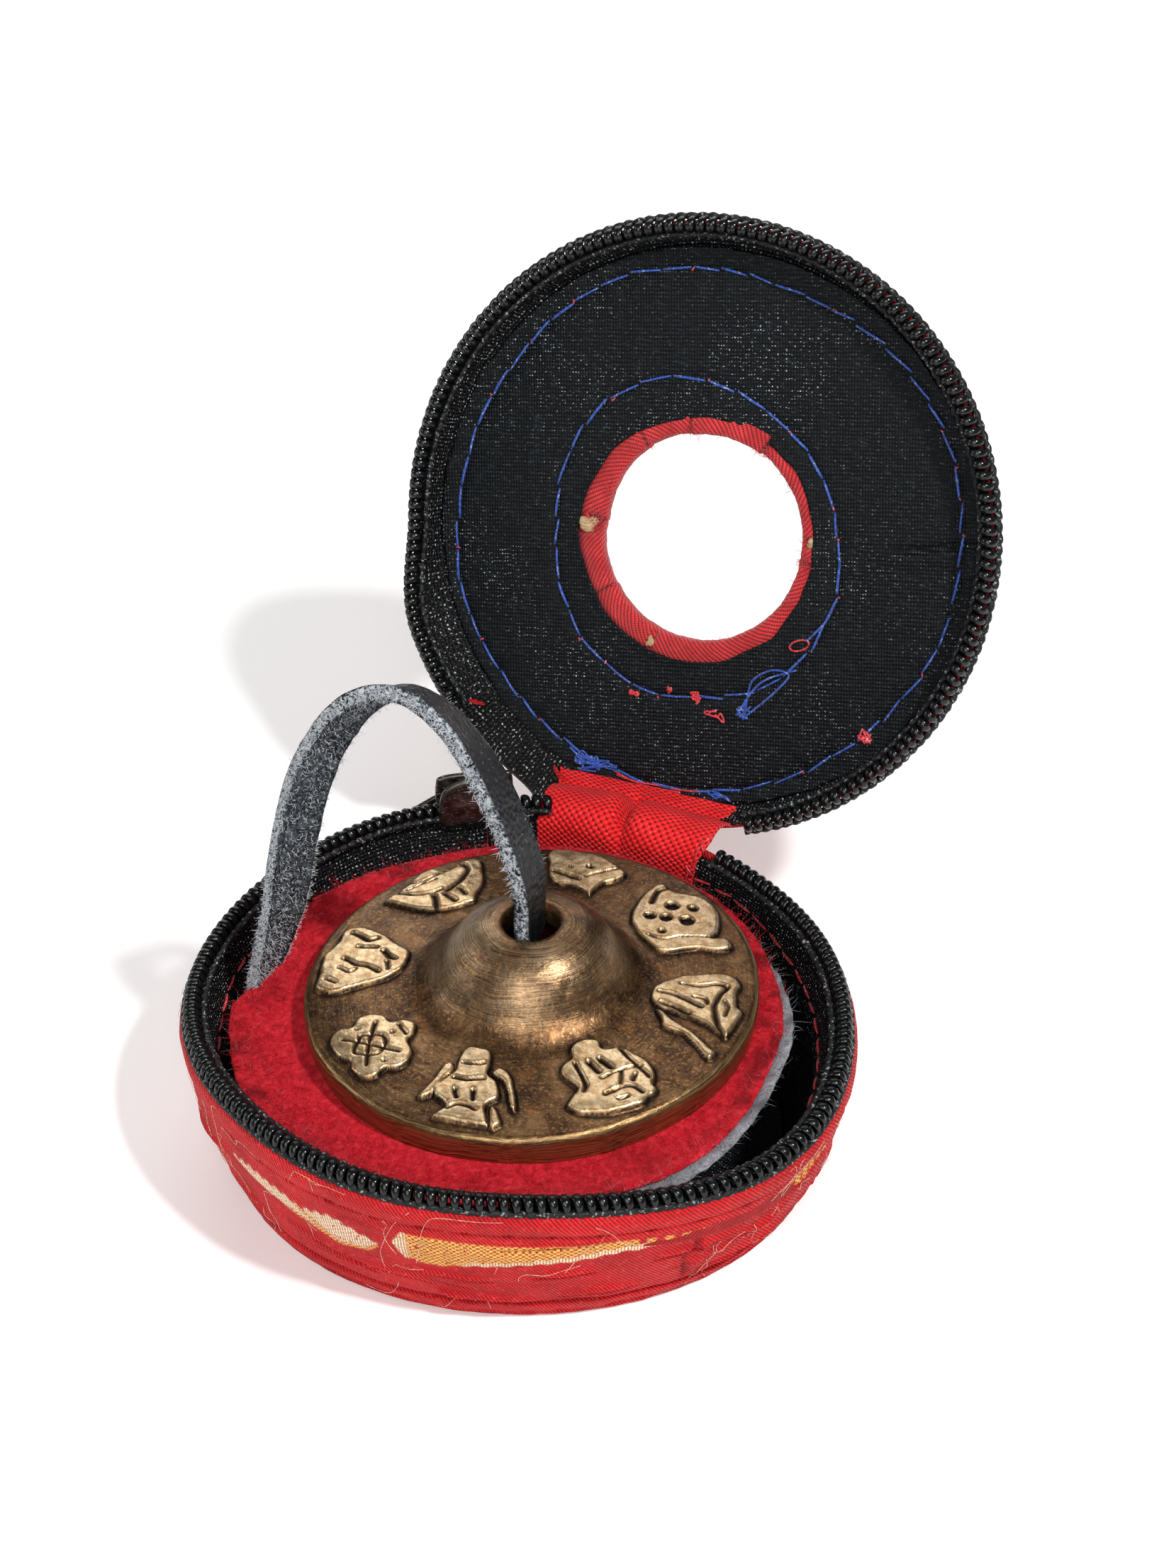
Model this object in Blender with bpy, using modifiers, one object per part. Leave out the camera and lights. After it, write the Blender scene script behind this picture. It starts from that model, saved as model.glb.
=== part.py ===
"""Pair of small hand cymbals on a leather strap, lying in a round zipped case
with its lid standing open.

Frame: origin at the centre of the case's underside, +Z up, +Y towards the
ribbon hinge.  All driving dimensions are in millimetres.
"""
import math

import bmesh
import bpy
from mathutils import Matrix, Vector

MM = 0.001
GAP = 0.3                    # clearance between touching pieces

# ---- case base ------------------------------------------------------------
ZT = 26.6                    # height of the plane where the two zip coils meet
TAPE_TOP_R = 47.4            # zip tape, upper edge
TAPE_TOP_BELOW = 1.95        # tape edge below the meeting plane
WALL_SLOPE = 0.352           # outward flare, radius per height
TAPE_T = 0.6                 # tape thickness
TAPE_DEPTH = 10.6            # tape height inside the base
WALL_T = 0.95                # brocade wall with its interlining
WALL_TOP = 22.4
FLOOR_R = 39.0
COVER_T, BOARD_T, LINING_T, LAYER_GAP = 0.6, 0.6, 0.3, 0.2
COIL_R = 47.7                # coil centre line
COIL_WIRE = 0.6              # half the coil's thickness
COIL_OFF = 1.1               # coil centre from the meeting plane
COIL_FROM, COIL_TO = 109.5, 433.0   # degrees, the ribbon fills the rest
LID_COIL_FROM = 134.0        # the lid's coil stops short of the parked slider
THREAD = 0.2                 # half the sewing thread's thickness

# ---- lid ------------------------------------------------------------------
LID_OPEN = 112.0             # degrees from closed
HINGE_R, HINGE_Z = 47.8, 23.3
HINGE_AT = 1.9               # degrees, the ribbon sits a little to the left
LID_TAPE_R0, LID_TAPE_R1 = 47.4, 45.3
LID_TAPE_H0, LID_TAPE_H1 = 1.95, 6.3   # heights above the meeting plane
LID_LINING_H = 6.6
LID_BOARD_H = 7.3
LID_PLATE_H = 8.6            # middle of the lid's outer cover
LID_COVER_T = 0.8
LID_HOLE_R = 16.4
LID_HOLE_Y = 1.7             # the hole is cut a little towards the hinge
LID_STITCH_R = (42.4, 23.3)

# ---- cymbals and felts ----------------------------------------------------
CYM_R = 32.5
CYM_H = 16.4
CYM_HOLE_R = 3.9
UPPER_Z = 23.0               # rim of the upper cymbal
LOWER_Z = 20.8               # rim of the lower cymbal, mouth up
FELT_R = 40.3
FELT_AT = (0.4, -1.0)        # the felts lie a little towards the front
FELT_T = 0.8
FELT_Z = (21.4, 22.4)        # middles of the grey and the red felt
STACK_AT = (1.8, 0.7, 27.6)  # point the leaning stack turns about
STACK_LEAN_X, STACK_LEAN_Y = 2.5, -1.6   # degrees

# ---- strap ----------------------------------------------------------------
STRAP_W, STRAP_T = 6.9, 1.7
STRAP_SIDE = (-0.988, -0.155)   # direction of the loop, seen from above
KNOT = (4.6, 4.2, 2.8)

# ---- zip slider and pull --------------------------------------------------
SLIDER_AT = 123.0            # degrees round the rim
SLIDER_L = 12.0
PLATE_IN, PLATE_OUT, PLATE_T = 45.3, 48.65, 1.0
PULL_PIVOT_R = 50.3
PULL_L = 20.0

# ---- hinge ribbon ---------------------------------------------------------
RIBBON_W, RIBBON_T = 25.0, 0.6

SEG = 48

for ob in list(bpy.data.objects):
    bpy.data.objects.remove(ob, do_unlink=True)


def collection(name):
    col = bpy.data.collections.new(name)
    bpy.context.scene.collection.children.link(col)
    return col


PARTS = collection("hand_cymbals")
CUTTERS = collection("cutters")


def material(name, rgb, rough, metal=0.0):
    mat = bpy.data.materials.new(name)
    mat.use_nodes = True
    bsdf = mat.node_tree.nodes["Principled BSDF"]
    bsdf.inputs["Base Color"].default_value = (*rgb, 1.0)
    bsdf.inputs["Roughness"].default_value = rough
    bsdf.inputs["Metallic"].default_value = metal
    mat.diffuse_color = (*rgb, 1.0)
    return mat


RED = dict(rgb=(0.52, 0.03, 0.04), rough=0.75)
BLACK = dict(rgb=(0.012, 0.013, 0.015), rough=0.7)
COIL = dict(rgb=(0.01, 0.01, 0.011), rough=0.25)
BOARD = dict(rgb=(0.45, 0.32, 0.18), rough=0.9)
BRONZE = dict(rgb=(0.30, 0.19, 0.09), rough=0.38, metal=1.0)
LEATHER = dict(rgb=(0.02, 0.02, 0.022), rough=0.6)
GUNMETAL = dict(rgb=(0.09, 0.08, 0.075), rough=0.35, metal=1.0)


def empty(name, at, rot=(0, 0, 0), parent=None):
    ob = bpy.data.objects.new(name, None)
    ob.empty_display_size = 0.005
    ob.location = Vector(at) * MM
    ob.rotation_euler = [math.radians(a) for a in rot]
    ob.parent = parent
    PARTS.objects.link(ob)
    return ob


def finish(ob, name, look, parent=None, shift=(0, 0, 0)):
    ob.name = name
    ob.data.name = name
    for col in list(ob.users_collection):
        col.objects.unlink(ob)
    PARTS.objects.link(ob)
    ob.data.materials.clear()
    ob.data.materials.append(material(name, **look))
    ob.parent = parent
    ob.location = Vector(ob.location) + Vector(shift) * MM
    if ob.type == 'MESH':
        ob.data.shade_smooth()
        ob.data.set_sharp_from_angle(angle=math.radians(40))
    return ob


def turned(name, profile, look, parent=None, shift=(0, 0, 0), steps=SEG):
    """Closed ring profile (radius, height), outer side first, top to bottom."""
    bm = bmesh.new()
    vs = [bm.verts.new((r * MM, 0, z * MM)) for r, z in profile]
    for a, b in zip(vs, vs[1:] + vs[:1]):
        bm.edges.new((a, b))
    me = bpy.data.meshes.new(name)
    bm.to_mesh(me)
    bm.free()
    ob = bpy.data.objects.new(name, me)
    PARTS.objects.link(ob)
    sc = ob.modifiers.new("turn", 'SCREW')
    sc.axis = 'Z'
    sc.angle = math.tau
    sc.steps = sc.render_steps = steps
    sc.use_merge_vertices = True
    sc.merge_threshold = 0.000005
    sc.use_smooth_shade = True
    return finish(ob, name, look, parent, shift)


def disc(name, radius, z0, thick, look, parent=None, shift=(0, 0, 0), at=(0, 0)):
    bpy.ops.mesh.primitive_cylinder_add(
        vertices=SEG, radius=radius * MM, depth=thick * MM,
        location=(at[0] * MM, at[1] * MM, (z0 + thick / 2) * MM))
    return finish(bpy.context.active_object, name, look, parent, shift)


def torus(name, radius, wire, z, look, parent=None, shift=(0, 0, 0)):
    bpy.ops.mesh.primitive_torus_add(
        major_segments=SEG, minor_segments=5, major_radius=radius * MM,
        minor_radius=wire * MM, location=(0, 0, z * MM))
    return finish(bpy.context.active_object, name, look, parent, shift)


def tube(name, pts, wire, look, parent=None, shift=(0, 0, 0)):
    cu = bpy.data.curves.new(name, 'CURVE')
    cu.dimensions = '3D'
    cu.bevel_depth = wire * MM
    cu.bevel_resolution = 2
    cu.use_fill_caps = True
    sp = cu.splines.new('POLY')
    sp.points.add(len(pts) - 1)
    for p, q in zip(sp.points, pts):
        p.co = (q[0] * MM, q[1] * MM, q[2] * MM, 1)
    ob = bpy.data.objects.new(name, cu)
    PARTS.objects.link(ob)
    return finish(ob, name, look, parent, shift)


def box(name, lo, hi):
    bpy.ops.mesh.primitive_cube_add(size=1)
    ob = bpy.context.active_object
    ob.name = name
    size = [(b - a) * MM for a, b in zip(lo, hi)]
    mid = [(b + a) / 2 * MM for a, b in zip(lo, hi)]
    ob.data.transform(Matrix.Translation(mid) @ Matrix.Diagonal((*size, 1)))
    return ob


def cutter(ob):
    for col in list(ob.users_collection):
        col.objects.unlink(ob)
    CUTTERS.objects.link(ob)
    ob.hide_render = True
    ob.display_type = 'WIRE'
    return ob


def join_with(ob, others, op='UNION'):
    for o in others:
        cutter(o)
        md = ob.modifiers.new(o.name, 'BOOLEAN')
        md.operation = op
        md.solver = 'EXACT'
        md.object = o


def bevelled(ob, width, segments=2, angle=40):
    bv = ob.modifiers.new("round", 'BEVEL')
    bv.width = width * MM
    bv.segments = segments
    bv.limit_method = 'ANGLE'
    bv.angle_limit = math.radians(angle)


def smooth_route(ctrl, per=6):
    """Catmull-Rom curve through the control points."""
    pts = [Vector(p) for p in ctrl]
    ext = [2 * pts[0] - pts[1]] + pts + [2 * pts[-1] - pts[-2]]
    out = []
    for i in range(1, len(ext) - 2):
        p0, p1, p2, p3 = ext[i - 1:i + 3]
        for k in range(per):
            t = k / per
            out.append(0.5 * ((2 * p1) + (p2 - p0) * t
                              + (2 * p0 - 5 * p1 + 4 * p2 - p3) * t * t
                              + (3 * p1 - p0 - 3 * p2 + p3) * t ** 3))
    out.append(pts[-1])
    return out


def strip(name, pts, across, width, thick, look, parent=None, shift=(0, 0, 0)):
    """Flat strap: an edge carried along the route, then given thickness."""
    side = Vector(across).normalized() * (width / 2 * MM)
    bm = bmesh.new()
    a = bm.verts.new(Vector(pts[0]) * MM - side)
    b = bm.verts.new(Vector(pts[0]) * MM + side)
    edge = bm.edges.new((a, b))
    last = pts[0]
    for p in pts[1:]:
        grown = bmesh.ops.extrude_edge_only(bm, edges=[edge])["geom"]
        step = (Vector(p) - Vector(last)) * MM
        for g in grown:
            if isinstance(g, bmesh.types.BMVert):
                g.co += step
            elif isinstance(g, bmesh.types.BMEdge):
                edge = g
        last = p
    me = bpy.data.meshes.new(name)
    bm.to_mesh(me)
    bm.free()
    ob = bpy.data.objects.new(name, me)
    PARTS.objects.link(ob)
    so = ob.modifiers.new("thick", 'SOLIDIFY')
    so.thickness = thick * MM
    so.offset = 0.0
    so.use_even_offset = True
    return finish(ob, name, look, parent, shift)


# ---------------------------------------------------------------- case base
def tape_line(z):
    """Radius of the middle of the base's zip tape at height z."""
    return TAPE_TOP_R - WALL_SLOPE * (ZT - TAPE_TOP_BELOW - z)


def flared(z0, z1, inner, outer):
    return [(tape_line(z1) + outer, z1), (tape_line(z0) + outer, z0),
            (tape_line(z0) + inner, z0), (tape_line(z1) + inner, z1)]


HALF_TAPE = TAPE_T / 2 * math.hypot(1, WALL_SLOPE)
WALL_IN = HALF_TAPE + LAYER_GAP
WALL_OUT = WALL_IN + WALL_T * math.hypot(1, WALL_SLOPE)
tape_z1 = ZT - TAPE_TOP_BELOW
tape_z0 = tape_z1 - TAPE_DEPTH
floor_top = COVER_T + BOARD_T + LINING_T + 2 * LAYER_GAP

disc("base_floor_cover", FLOOR_R, 0.0, COVER_T, RED)
disc("base_floor_stiffener", FLOOR_R - 0.3, COVER_T + LAYER_GAP, BOARD_T, BOARD)
disc("base_floor_lining", FLOOR_R - 0.3, floor_top - LINING_T, LINING_T, BLACK)
turned("base_side_wall", flared(0.0, WALL_TOP, WALL_IN, WALL_OUT), RED)
turned("base_wall_lining",
       flared(floor_top + GAP, tape_z0 - GAP, -HALF_TAPE, HALF_TAPE), BLACK)
turned("base_zip_tape", flared(tape_z0, tape_z1, -HALF_TAPE, HALF_TAPE), BLACK)
stitch_z = tape_z0 + 2.4
torus("base_tape_stitching", tape_line(stitch_z) - HALF_TAPE - 0.15 - THREAD,
      THREAD, stitch_z, RED)


def rim_arc(radius, z, a0, a1, n):
    return [(radius * math.cos(math.radians(a0 + (a1 - a0) * i / n)),
             radius * math.sin(math.radians(a0 + (a1 - a0) * i / n)), z)
            for i in range(n + 1)]


tube("base_zip_coil", rim_arc(COIL_R, ZT - COIL_OFF, COIL_FROM, COIL_TO, 48),
     COIL_WIRE, COIL)

# ---------------------------------------------------------------------- lid
# The lid's pieces are laid out closed, then turned open about the hinge line.
hinge_a = math.radians(HINGE_AT)
lid_pivot = empty("lid_pivot", (-HINGE_R * math.sin(hinge_a),
                                HINGE_R * math.cos(hinge_a), HINGE_Z),
                  rot=(-LID_OPEN, 0, HINGE_AT))
LID = dict(parent=lid_pivot, shift=(0, -HINGE_R, -HINGE_Z))

lid_a = Vector((LID_TAPE_R0, ZT + LID_TAPE_H0))
lid_b = Vector((LID_TAPE_R1, ZT + LID_TAPE_H1))
lid_d = (lid_b - lid_a).normalized()
lid_n = Vector((lid_d.y, -lid_d.x))          # points out of the lid
ht = TAPE_T / 2
turned("lid_zip_tape", [tuple(lid_b + lid_n * ht), tuple(lid_a + lid_n * ht),
                        tuple(lid_a - lid_n * ht), tuple(lid_b - lid_n * ht)],
       BLACK, **LID)
tube("lid_zip_coil", rim_arc(COIL_R, ZT + COIL_OFF, LID_COIL_FROM, COIL_TO, 46),
     COIL_WIRE, COIL, **LID)

# Outer cover: flared side, rounded shoulder and flat ring round the hole.
side_off = ht + LAYER_GAP + LID_COVER_T / 2
mid = [Vector((LID_HOLE_R - 4.0, ZT + LID_PLATE_H)),
       Vector((LID_TAPE_R1 - 1.9, ZT + LID_PLATE_H)),
       Vector((LID_TAPE_R1 - 0.5, ZT + LID_PLATE_H - 0.5)),
       lid_b + lid_n * side_off + lid_d * 0.4,
       lid_a + lid_n * side_off + lid_d * 0.9]
outer, inner = [], []
for i, p in enumerate(mid):
    q0, q1 = mid[max(i - 1, 0)], mid[min(i + 1, len(mid) - 1)]
    d = (q1 - q0).normalized()
    n = Vector((-d.y, d.x))
    outer.append(tuple(p + n * (LID_COVER_T / 2)))
    inner.append(tuple(p - n * (LID_COVER_T / 2)))


def hole_cut(ob):
    """Off-centre round hole through a piece of the lid."""
    bpy.ops.mesh.primitive_cylinder_add(
        vertices=SEG, radius=(LID_HOLE_R + 1.6) * MM, depth=20 * MM,
        location=Vector((0, LID_HOLE_Y, ZT + LID_PLATE_H)) * MM
        + Vector(LID["shift"]) * MM)
    hole = bpy.context.active_object
    hole.name = ob.name + "_hole"
    hole.parent = lid_pivot
    join_with(ob, [hole], 'DIFFERENCE')


hole_cut(turned("lid_cover", outer + inner[::-1], RED, **LID))


def flat_ring(name, r0, r1, z0, z1, look, **kw):
    return turned(name, [(r1, z1), (r1, z0), (r0, z0), (r0, z1)], look, **kw)


hole_cut(flat_ring("lid_stiffener", LID_HOLE_R - 4.0, LID_TAPE_R1 - 2.4,
                   ZT + LID_BOARD_H, ZT + LID_BOARD_H + 0.6, BOARD, **LID))
hole_cut(flat_ring("lid_lining", LID_HOLE_R - 4.0, LID_TAPE_R1 - 0.8,
                   ZT + LID_LINING_H, ZT + LID_LINING_H + 0.4, BLACK, **LID))
# Binding: a channel of red twill folded over the edge of the lid's hole.
b0, b1 = LID_HOLE_R, LID_HOLE_R + 3.0
bz0, bz1 = ZT + LID_LINING_H - GAP, ZT + LID_PLATE_H + LID_COVER_T / 2 + GAP
turned("lid_hole_binding",
       [(b1, bz1 + 0.4), (b1, bz1), (b0 + 1.2, bz1), (b0 + 1.2, bz0), (b1, bz0),
        (b1, bz0 - 0.4), (b0, bz0 - 0.4), (b0, bz1 + 0.4)], RED,
       parent=lid_pivot, shift=(0, LID_HOLE_Y - HINGE_R, -HINGE_Z))
BLUE = dict(rgb=(0.02, 0.06, 0.38), rough=0.6)
stitch_h = ZT + LID_LINING_H - 0.15 - THREAD
torus("lid_outer_stitching", LID_STITCH_R[0], THREAD, stitch_h, BLUE, **LID)
torus("lid_inner_stitching", LID_STITCH_R[1], THREAD, stitch_h, BLUE,
      parent=lid_pivot, shift=(0, LID_HOLE_Y - HINGE_R, -HINGE_Z))

# -------------------------------------------------------------- ribbon hinge
# A short ribbon from the inside of the base to the inside of the lid.
def lid_point(y, z):
    """Where a point of the closed lid's middle plane stands, lid open."""
    a = math.radians(-LID_OPEN)
    dy, dz = y - HINGE_R, z - HINGE_Z
    return (HINGE_R + dy * math.cos(a) - dz * math.sin(a),
            HINGE_Z + dy * math.sin(a) + dz * math.cos(a))


lid_up = Vector((-math.cos(math.radians(LID_OPEN)),
                 math.sin(math.radians(LID_OPEN))))
clear_in = HALF_TAPE + 2 * THREAD + 1.0
rib = [(Vector((tape_line(tape_z0 + 0.5) - clear_in, tape_z0 + 0.5)), Vector((-1, 0))),
       (Vector((tape_line(tape_z1 - 4) - clear_in, tape_z1 - 4)), Vector((-1, 0))),
       (Vector((tape_line(tape_z1) - 1.2, tape_z1 + 1.2)), Vector((-1, 0.1))),
       (Vector((HINGE_R - 0.6, ZT + 1.7)), Vector((-0.5, 0.55)))]
for k in (0.25, 0.62, 0.98):
    p = lid_a + (lid_b - lid_a) * k - lid_n * (ht + 0.9)
    rib.append((Vector(lid_point(p.x, p.y)), lid_up * 1.0))
rib_path = smooth_route([(0, c.x, c.y) for c, _ in rib], 3)
rib_dir = smooth_route([(0, d.x, d.y) for _, d in rib], 3)
bm = bmesh.new()
NX, NY = 8, len(rib_path) - 1
bmesh.ops.create_grid(bm, x_segments=NX, y_segments=NY, size=0.5)
for v in bm.verts:
    x = v.co.x * RIBBON_W
    k = round((v.co.y + 0.5) * NY)
    sag = COIL_R - math.sqrt(COIL_R ** 2 - x ** 2)
    c, d = rib_path[k], rib_dir[k]
    v.co = (x * MM, (c.y + sag * d.y) * MM, (c.z + sag * d.z) * MM)
me = bpy.data.meshes.new("hinge_ribbon")
bm.to_mesh(me)
bm.free()
ribbon = bpy.data.objects.new("hinge_ribbon", me)
PARTS.objects.link(ribbon)
so = ribbon.modifiers.new("thick", 'SOLIDIFY')
so.thickness = RIBBON_T * MM
so.offset = 0.0
finish(ribbon, "hinge_ribbon", RED,
       empty("ribbon_turn", (0, 0, 0), rot=(0, 0, HINGE_AT)))

# ------------------------------------------------------------ cymbals, felts
# Rim plane at height 0, boss up.  The bell is hollow and the boss is bored.
CYMBAL = [
    (CYM_HOLE_R, CYM_H - 0.7), (CYM_HOLE_R + 0.6, CYM_H - 0.1), (5.6, CYM_H),
    (8.0, 15.6), (10.2, 13.9), (11.9, 11.6), (13.4, 9.0), (15.4, 7.0),
    (18.0, 6.0), (23.0, 5.4), (28.0, 5.0), (31.6, 4.65), (32.4, 4.2),
    (CYM_R, 3.6), (32.3, 0.9), (31.9, 0.0), (30.2, 0.0), (28.5, 1.3),
    (23.0, 2.2), (17.5, 2.8), (14.2, 3.8), (12.3, 6.2), (10.8, 8.9),
    (8.9, 11.2), (6.6, 12.6), (CYM_HOLE_R, 13.1)]
LEAN = (STACK_LEAN_X, STACK_LEAN_Y, 0)
lower_lift = empty("lower_cymbal_lift", STACK_AT, rot=LEAN)
felt_lift = empty("felt_lift", STACK_AT, rot=LEAN)
upper_lift = empty("upper_cymbal_lift", STACK_AT, rot=LEAN)
DOWN = (0, 0, -STACK_AT[2])

turned("upper_cymbal", [(r, UPPER_Z + z) for r, z in CYMBAL], BRONZE,
       upper_lift, DOWN, steps=36)
# The lower one lies boss down: the same profile turned over and read backwards.
turned("lower_cymbal", [(r, LOWER_Z - z) for r, z in CYMBAL[::-1]], BRONZE,
       lower_lift, DOWN, steps=36)
FELTS = (("felt_grey", FELT_Z[0], dict(rgb=(0.23, 0.24, 0.26), rough=0.95)),
         ("felt_red", FELT_Z[1], dict(rgb=(0.42, 0.012, 0.03), rough=0.95)))
for name, z, look in FELTS:
    disc(name, FELT_R, z - FELT_T / 2, FELT_T, look, felt_lift, DOWN, at=FELT_AT)


def knot(name, z, parent):
    bpy.ops.mesh.primitive_uv_sphere_add(segments=16, ring_count=10, radius=1)
    ob = bpy.context.active_object
    ob.data.transform(Matrix.Translation((0, 0, z * MM))
                      @ Matrix.Diagonal((*[k * MM for k in KNOT], 1)))
    return finish(ob, name, LEATHER, parent, DOWN)


KNOT_UP = 9.5                 # knot's middle above its cymbal's rim plane
knot("upper_strap_knot", UPPER_Z + KNOT_UP, upper_lift)
knot("lower_strap_knot", LOWER_Z - KNOT_UP, lower_lift)

# --------------------------------------------------------------------- strap
lean = (Matrix.Rotation(math.radians(STACK_LEAN_Y), 3, 'Y')
        @ Matrix.Rotation(math.radians(STACK_LEAN_X), 3, 'X'))


def in_stack(z):
    """Point on the leaning stack's axis."""
    return Vector(STACK_AT) + lean @ Vector((0, 0, z - STACK_AT[2]))


side = Vector((*STRAP_SIDE, 0)).normalized()
across = Vector((-side.y, side.x, 0))
knot_top = KNOT_UP + KNOT[2] + GAP
boss_top = in_stack(UPPER_Z + CYM_H + 0.8)


def beside(reach, rise):
    """Point of the loop: reach sideways from the boss, rise above the rim."""
    return Vector((boss_top.x, boss_top.y, ZT + rise)) + side * reach


loop = [in_stack(UPPER_Z + knot_top), in_stack(UPPER_Z + CYM_H - 1.5), boss_top,
        beside(0.2, 22.0), beside(4.8, 35.8), beside(10.9, 45.4),
        beside(17.8, 48.9), beside(24.8, 45.0), beside(31.0, 34.2),
        beside(34.6, 21.0), beside(37.4, 8.5), beside(40.4, 0.0),
        beside(42.2, -5.0), beside(42.6, -10.0), beside(41.6, -15.0)]
strip("strap_loop", smooth_route(loop, 4), across, STRAP_W, STRAP_T, LEATHER)

# The rest of the strap runs under the lower cymbal and up into its boss.
low_boss = in_stack(LOWER_Z - CYM_H)
run_z = floor_top + 0.25 + STRAP_T / 2
bend = low_boss.z - run_z
tail = [beside(41.3, -15.9), beside(40.2, -18.6), beside(37.5, -21.4)]
flat_end = Vector((low_boss.x, low_boss.y, run_z)) + side * (bend + 0.3)
for k in (1.0, 0.72, 0.45, 0.2):
    tail.append(flat_end + (Vector((*beside(33.0, 0).xy, run_z)) - flat_end) * k)
route = smooth_route(tail, 3)
turn = flat_end + Vector((0, 0, bend))
for k in range(0, 6):
    a = math.radians(90 * k / 5)
    route.append(turn + (-side * math.sin(a) - Vector((0, 0, math.cos(a)))) * bend)
top = in_stack(LOWER_Z - knot_top)
route.append(Vector((*(top.xy + side.xy * 0.15), top.z)))
strip("strap_tail", route, across, STRAP_W, STRAP_T, LEATHER)

# ---------------------------------------------------------------- zip slider
# Laid out at +X: radius along X, run of the rim along Y.
slider_pivot = empty("slider_pivot", (0, 0, 0), rot=(0, 0, SLIDER_AT))
h = SLIDER_L / 2
slider = box("zip_slider", (PLATE_IN - PLATE_T, -h, ZT - 3.6),
             (PLATE_IN, h, ZT + 5.0))
outer_plate = box("slider_outer_plate", (PLATE_OUT, -h, ZT - 3.4),
                  (PLATE_OUT + PLATE_T, h, ZT + 3.4))
for plate in (slider, outer_plate):
    bm = bmesh.new()
    bm.from_mesh(plate.data)
    corner = [e for e in bm.edges
              if abs((e.verts[0].co - e.verts[1].co).normalized().x) > 0.9]
    bmesh.ops.bevel(bm, geom=corner, offset=2.6 * MM, segments=4, profile=0.5,
                    affect='EDGES')
    bm.to_mesh(plate.data)
    bm.free()
web = box("slider_web", (PLATE_IN - 0.4, -h + 0.8, ZT - 0.2),
          (PLATE_OUT + 0.4, -h + 4.8, ZT + 0.2))
crown_r = PLATE_OUT + PLATE_T
crown = box("slider_crown", (crown_r + 1.25, -3.5, ZT - 0.9),
            (crown_r + 2.05, 3.5, ZT + 0.9))
posts = [box("slider_post_a", (crown_r - 0.4, -3.5, ZT - 0.9),
             (crown_r + 1.6, -2.7, ZT + 0.9)),
         box("slider_post_b", (crown_r - 0.4, 2.7, ZT - 0.9),
             (crown_r + 1.6, 3.5, ZT + 0.9))]
for ob in (outer_plate, web, crown, *posts):
    ob.parent = slider_pivot
finish(slider, "zip_slider", GUNMETAL, slider_pivot)
join_with(slider, [outer_plate, web, *posts, crown])

# Pull: a pin under the slider's crown, two arms and a tapered tab.
pull_pivot = empty("pull_pivot", (PULL_PIVOT_R, 0, ZT), parent=slider_pivot)
PULL = dict(parent=pull_pivot)
pull = box("zip_pull", (-0.45, 4.3, -2.7), (0.45, PULL_L, 2.7))
bm = bmesh.new()
bm.from_mesh(pull.data)
for v in bm.verts:
    if v.co.y > 0.01:
        v.co.z *= 0.8
bmesh.ops.bevel(bm, geom=[e for e in bm.edges
                          if abs((e.verts[0].co - e.verts[1].co).normalized().x) > 0.9],
                offset=1.2 * MM, segments=3, profile=0.5, affect='EDGES')
bm.to_mesh(pull.data)
bm.free()
arms = [box("pull_arm_a", (-0.35, -0.35, 1.85), (0.35, 5.6, 2.6)),
        box("pull_arm_b", (-0.35, -0.35, -2.6), (0.35, 5.6, -1.85))]
bpy.ops.mesh.primitive_cylinder_add(vertices=12, radius=0.33 * MM, depth=4.6 * MM)
pin = bpy.context.active_object
pin.name = "pull_pin"
for ob in (pin, *arms):
    ob.parent = pull_pivot
finish(pull, "zip_pull", GUNMETAL, pull_pivot)
join_with(pull, [*arms, pin])
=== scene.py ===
"""Looks of a pair of small bronze hand cymbals on a leather strap, in a round zipped brocade case."""

import math

import bmesh
import bpy
import numpy as np
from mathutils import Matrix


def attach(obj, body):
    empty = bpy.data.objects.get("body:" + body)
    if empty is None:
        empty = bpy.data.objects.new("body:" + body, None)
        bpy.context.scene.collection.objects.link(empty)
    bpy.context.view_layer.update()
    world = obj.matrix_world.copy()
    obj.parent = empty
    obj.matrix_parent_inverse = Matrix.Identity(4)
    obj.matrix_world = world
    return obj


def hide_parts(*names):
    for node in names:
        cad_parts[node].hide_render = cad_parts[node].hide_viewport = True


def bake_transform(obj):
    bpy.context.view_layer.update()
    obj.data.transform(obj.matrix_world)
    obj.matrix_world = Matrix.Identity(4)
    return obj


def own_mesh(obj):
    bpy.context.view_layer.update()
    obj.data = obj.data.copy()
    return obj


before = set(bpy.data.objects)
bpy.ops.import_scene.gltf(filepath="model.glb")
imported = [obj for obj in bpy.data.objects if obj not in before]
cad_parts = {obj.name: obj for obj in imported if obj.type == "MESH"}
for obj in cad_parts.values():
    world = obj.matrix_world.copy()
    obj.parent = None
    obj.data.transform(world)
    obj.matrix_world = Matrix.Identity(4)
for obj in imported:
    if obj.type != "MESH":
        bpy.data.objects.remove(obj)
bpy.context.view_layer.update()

MM = 0.001
TAU = 2 * math.pi
rng = np.random.default_rng(20)

# ---------------------------------------------------------------- sizes, in millimetres
ZT = 26.6
HINGE = np.array([-1.585, 47.774, 23.3])
HINGE_R, HINGE_Z, HINGE_AT, LID_OPEN = 47.8, 23.3, 1.9, 112.0
UPPER_Z, LOWER_Z = 23.0, 20.8
STACK_AT = np.array([1.8, 0.7, 27.6])
STACK_LEAN_X, STACK_LEAN_Y = 2.5, -1.6
SIDE = np.array([-0.988, -0.155, 0.0])
SLIDER_AT = math.radians(123.0)
COIL_FROM, COIL_TO = 109.5, 433.0
PITCH = 1.72
HOLE_Y = 1.7

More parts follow.
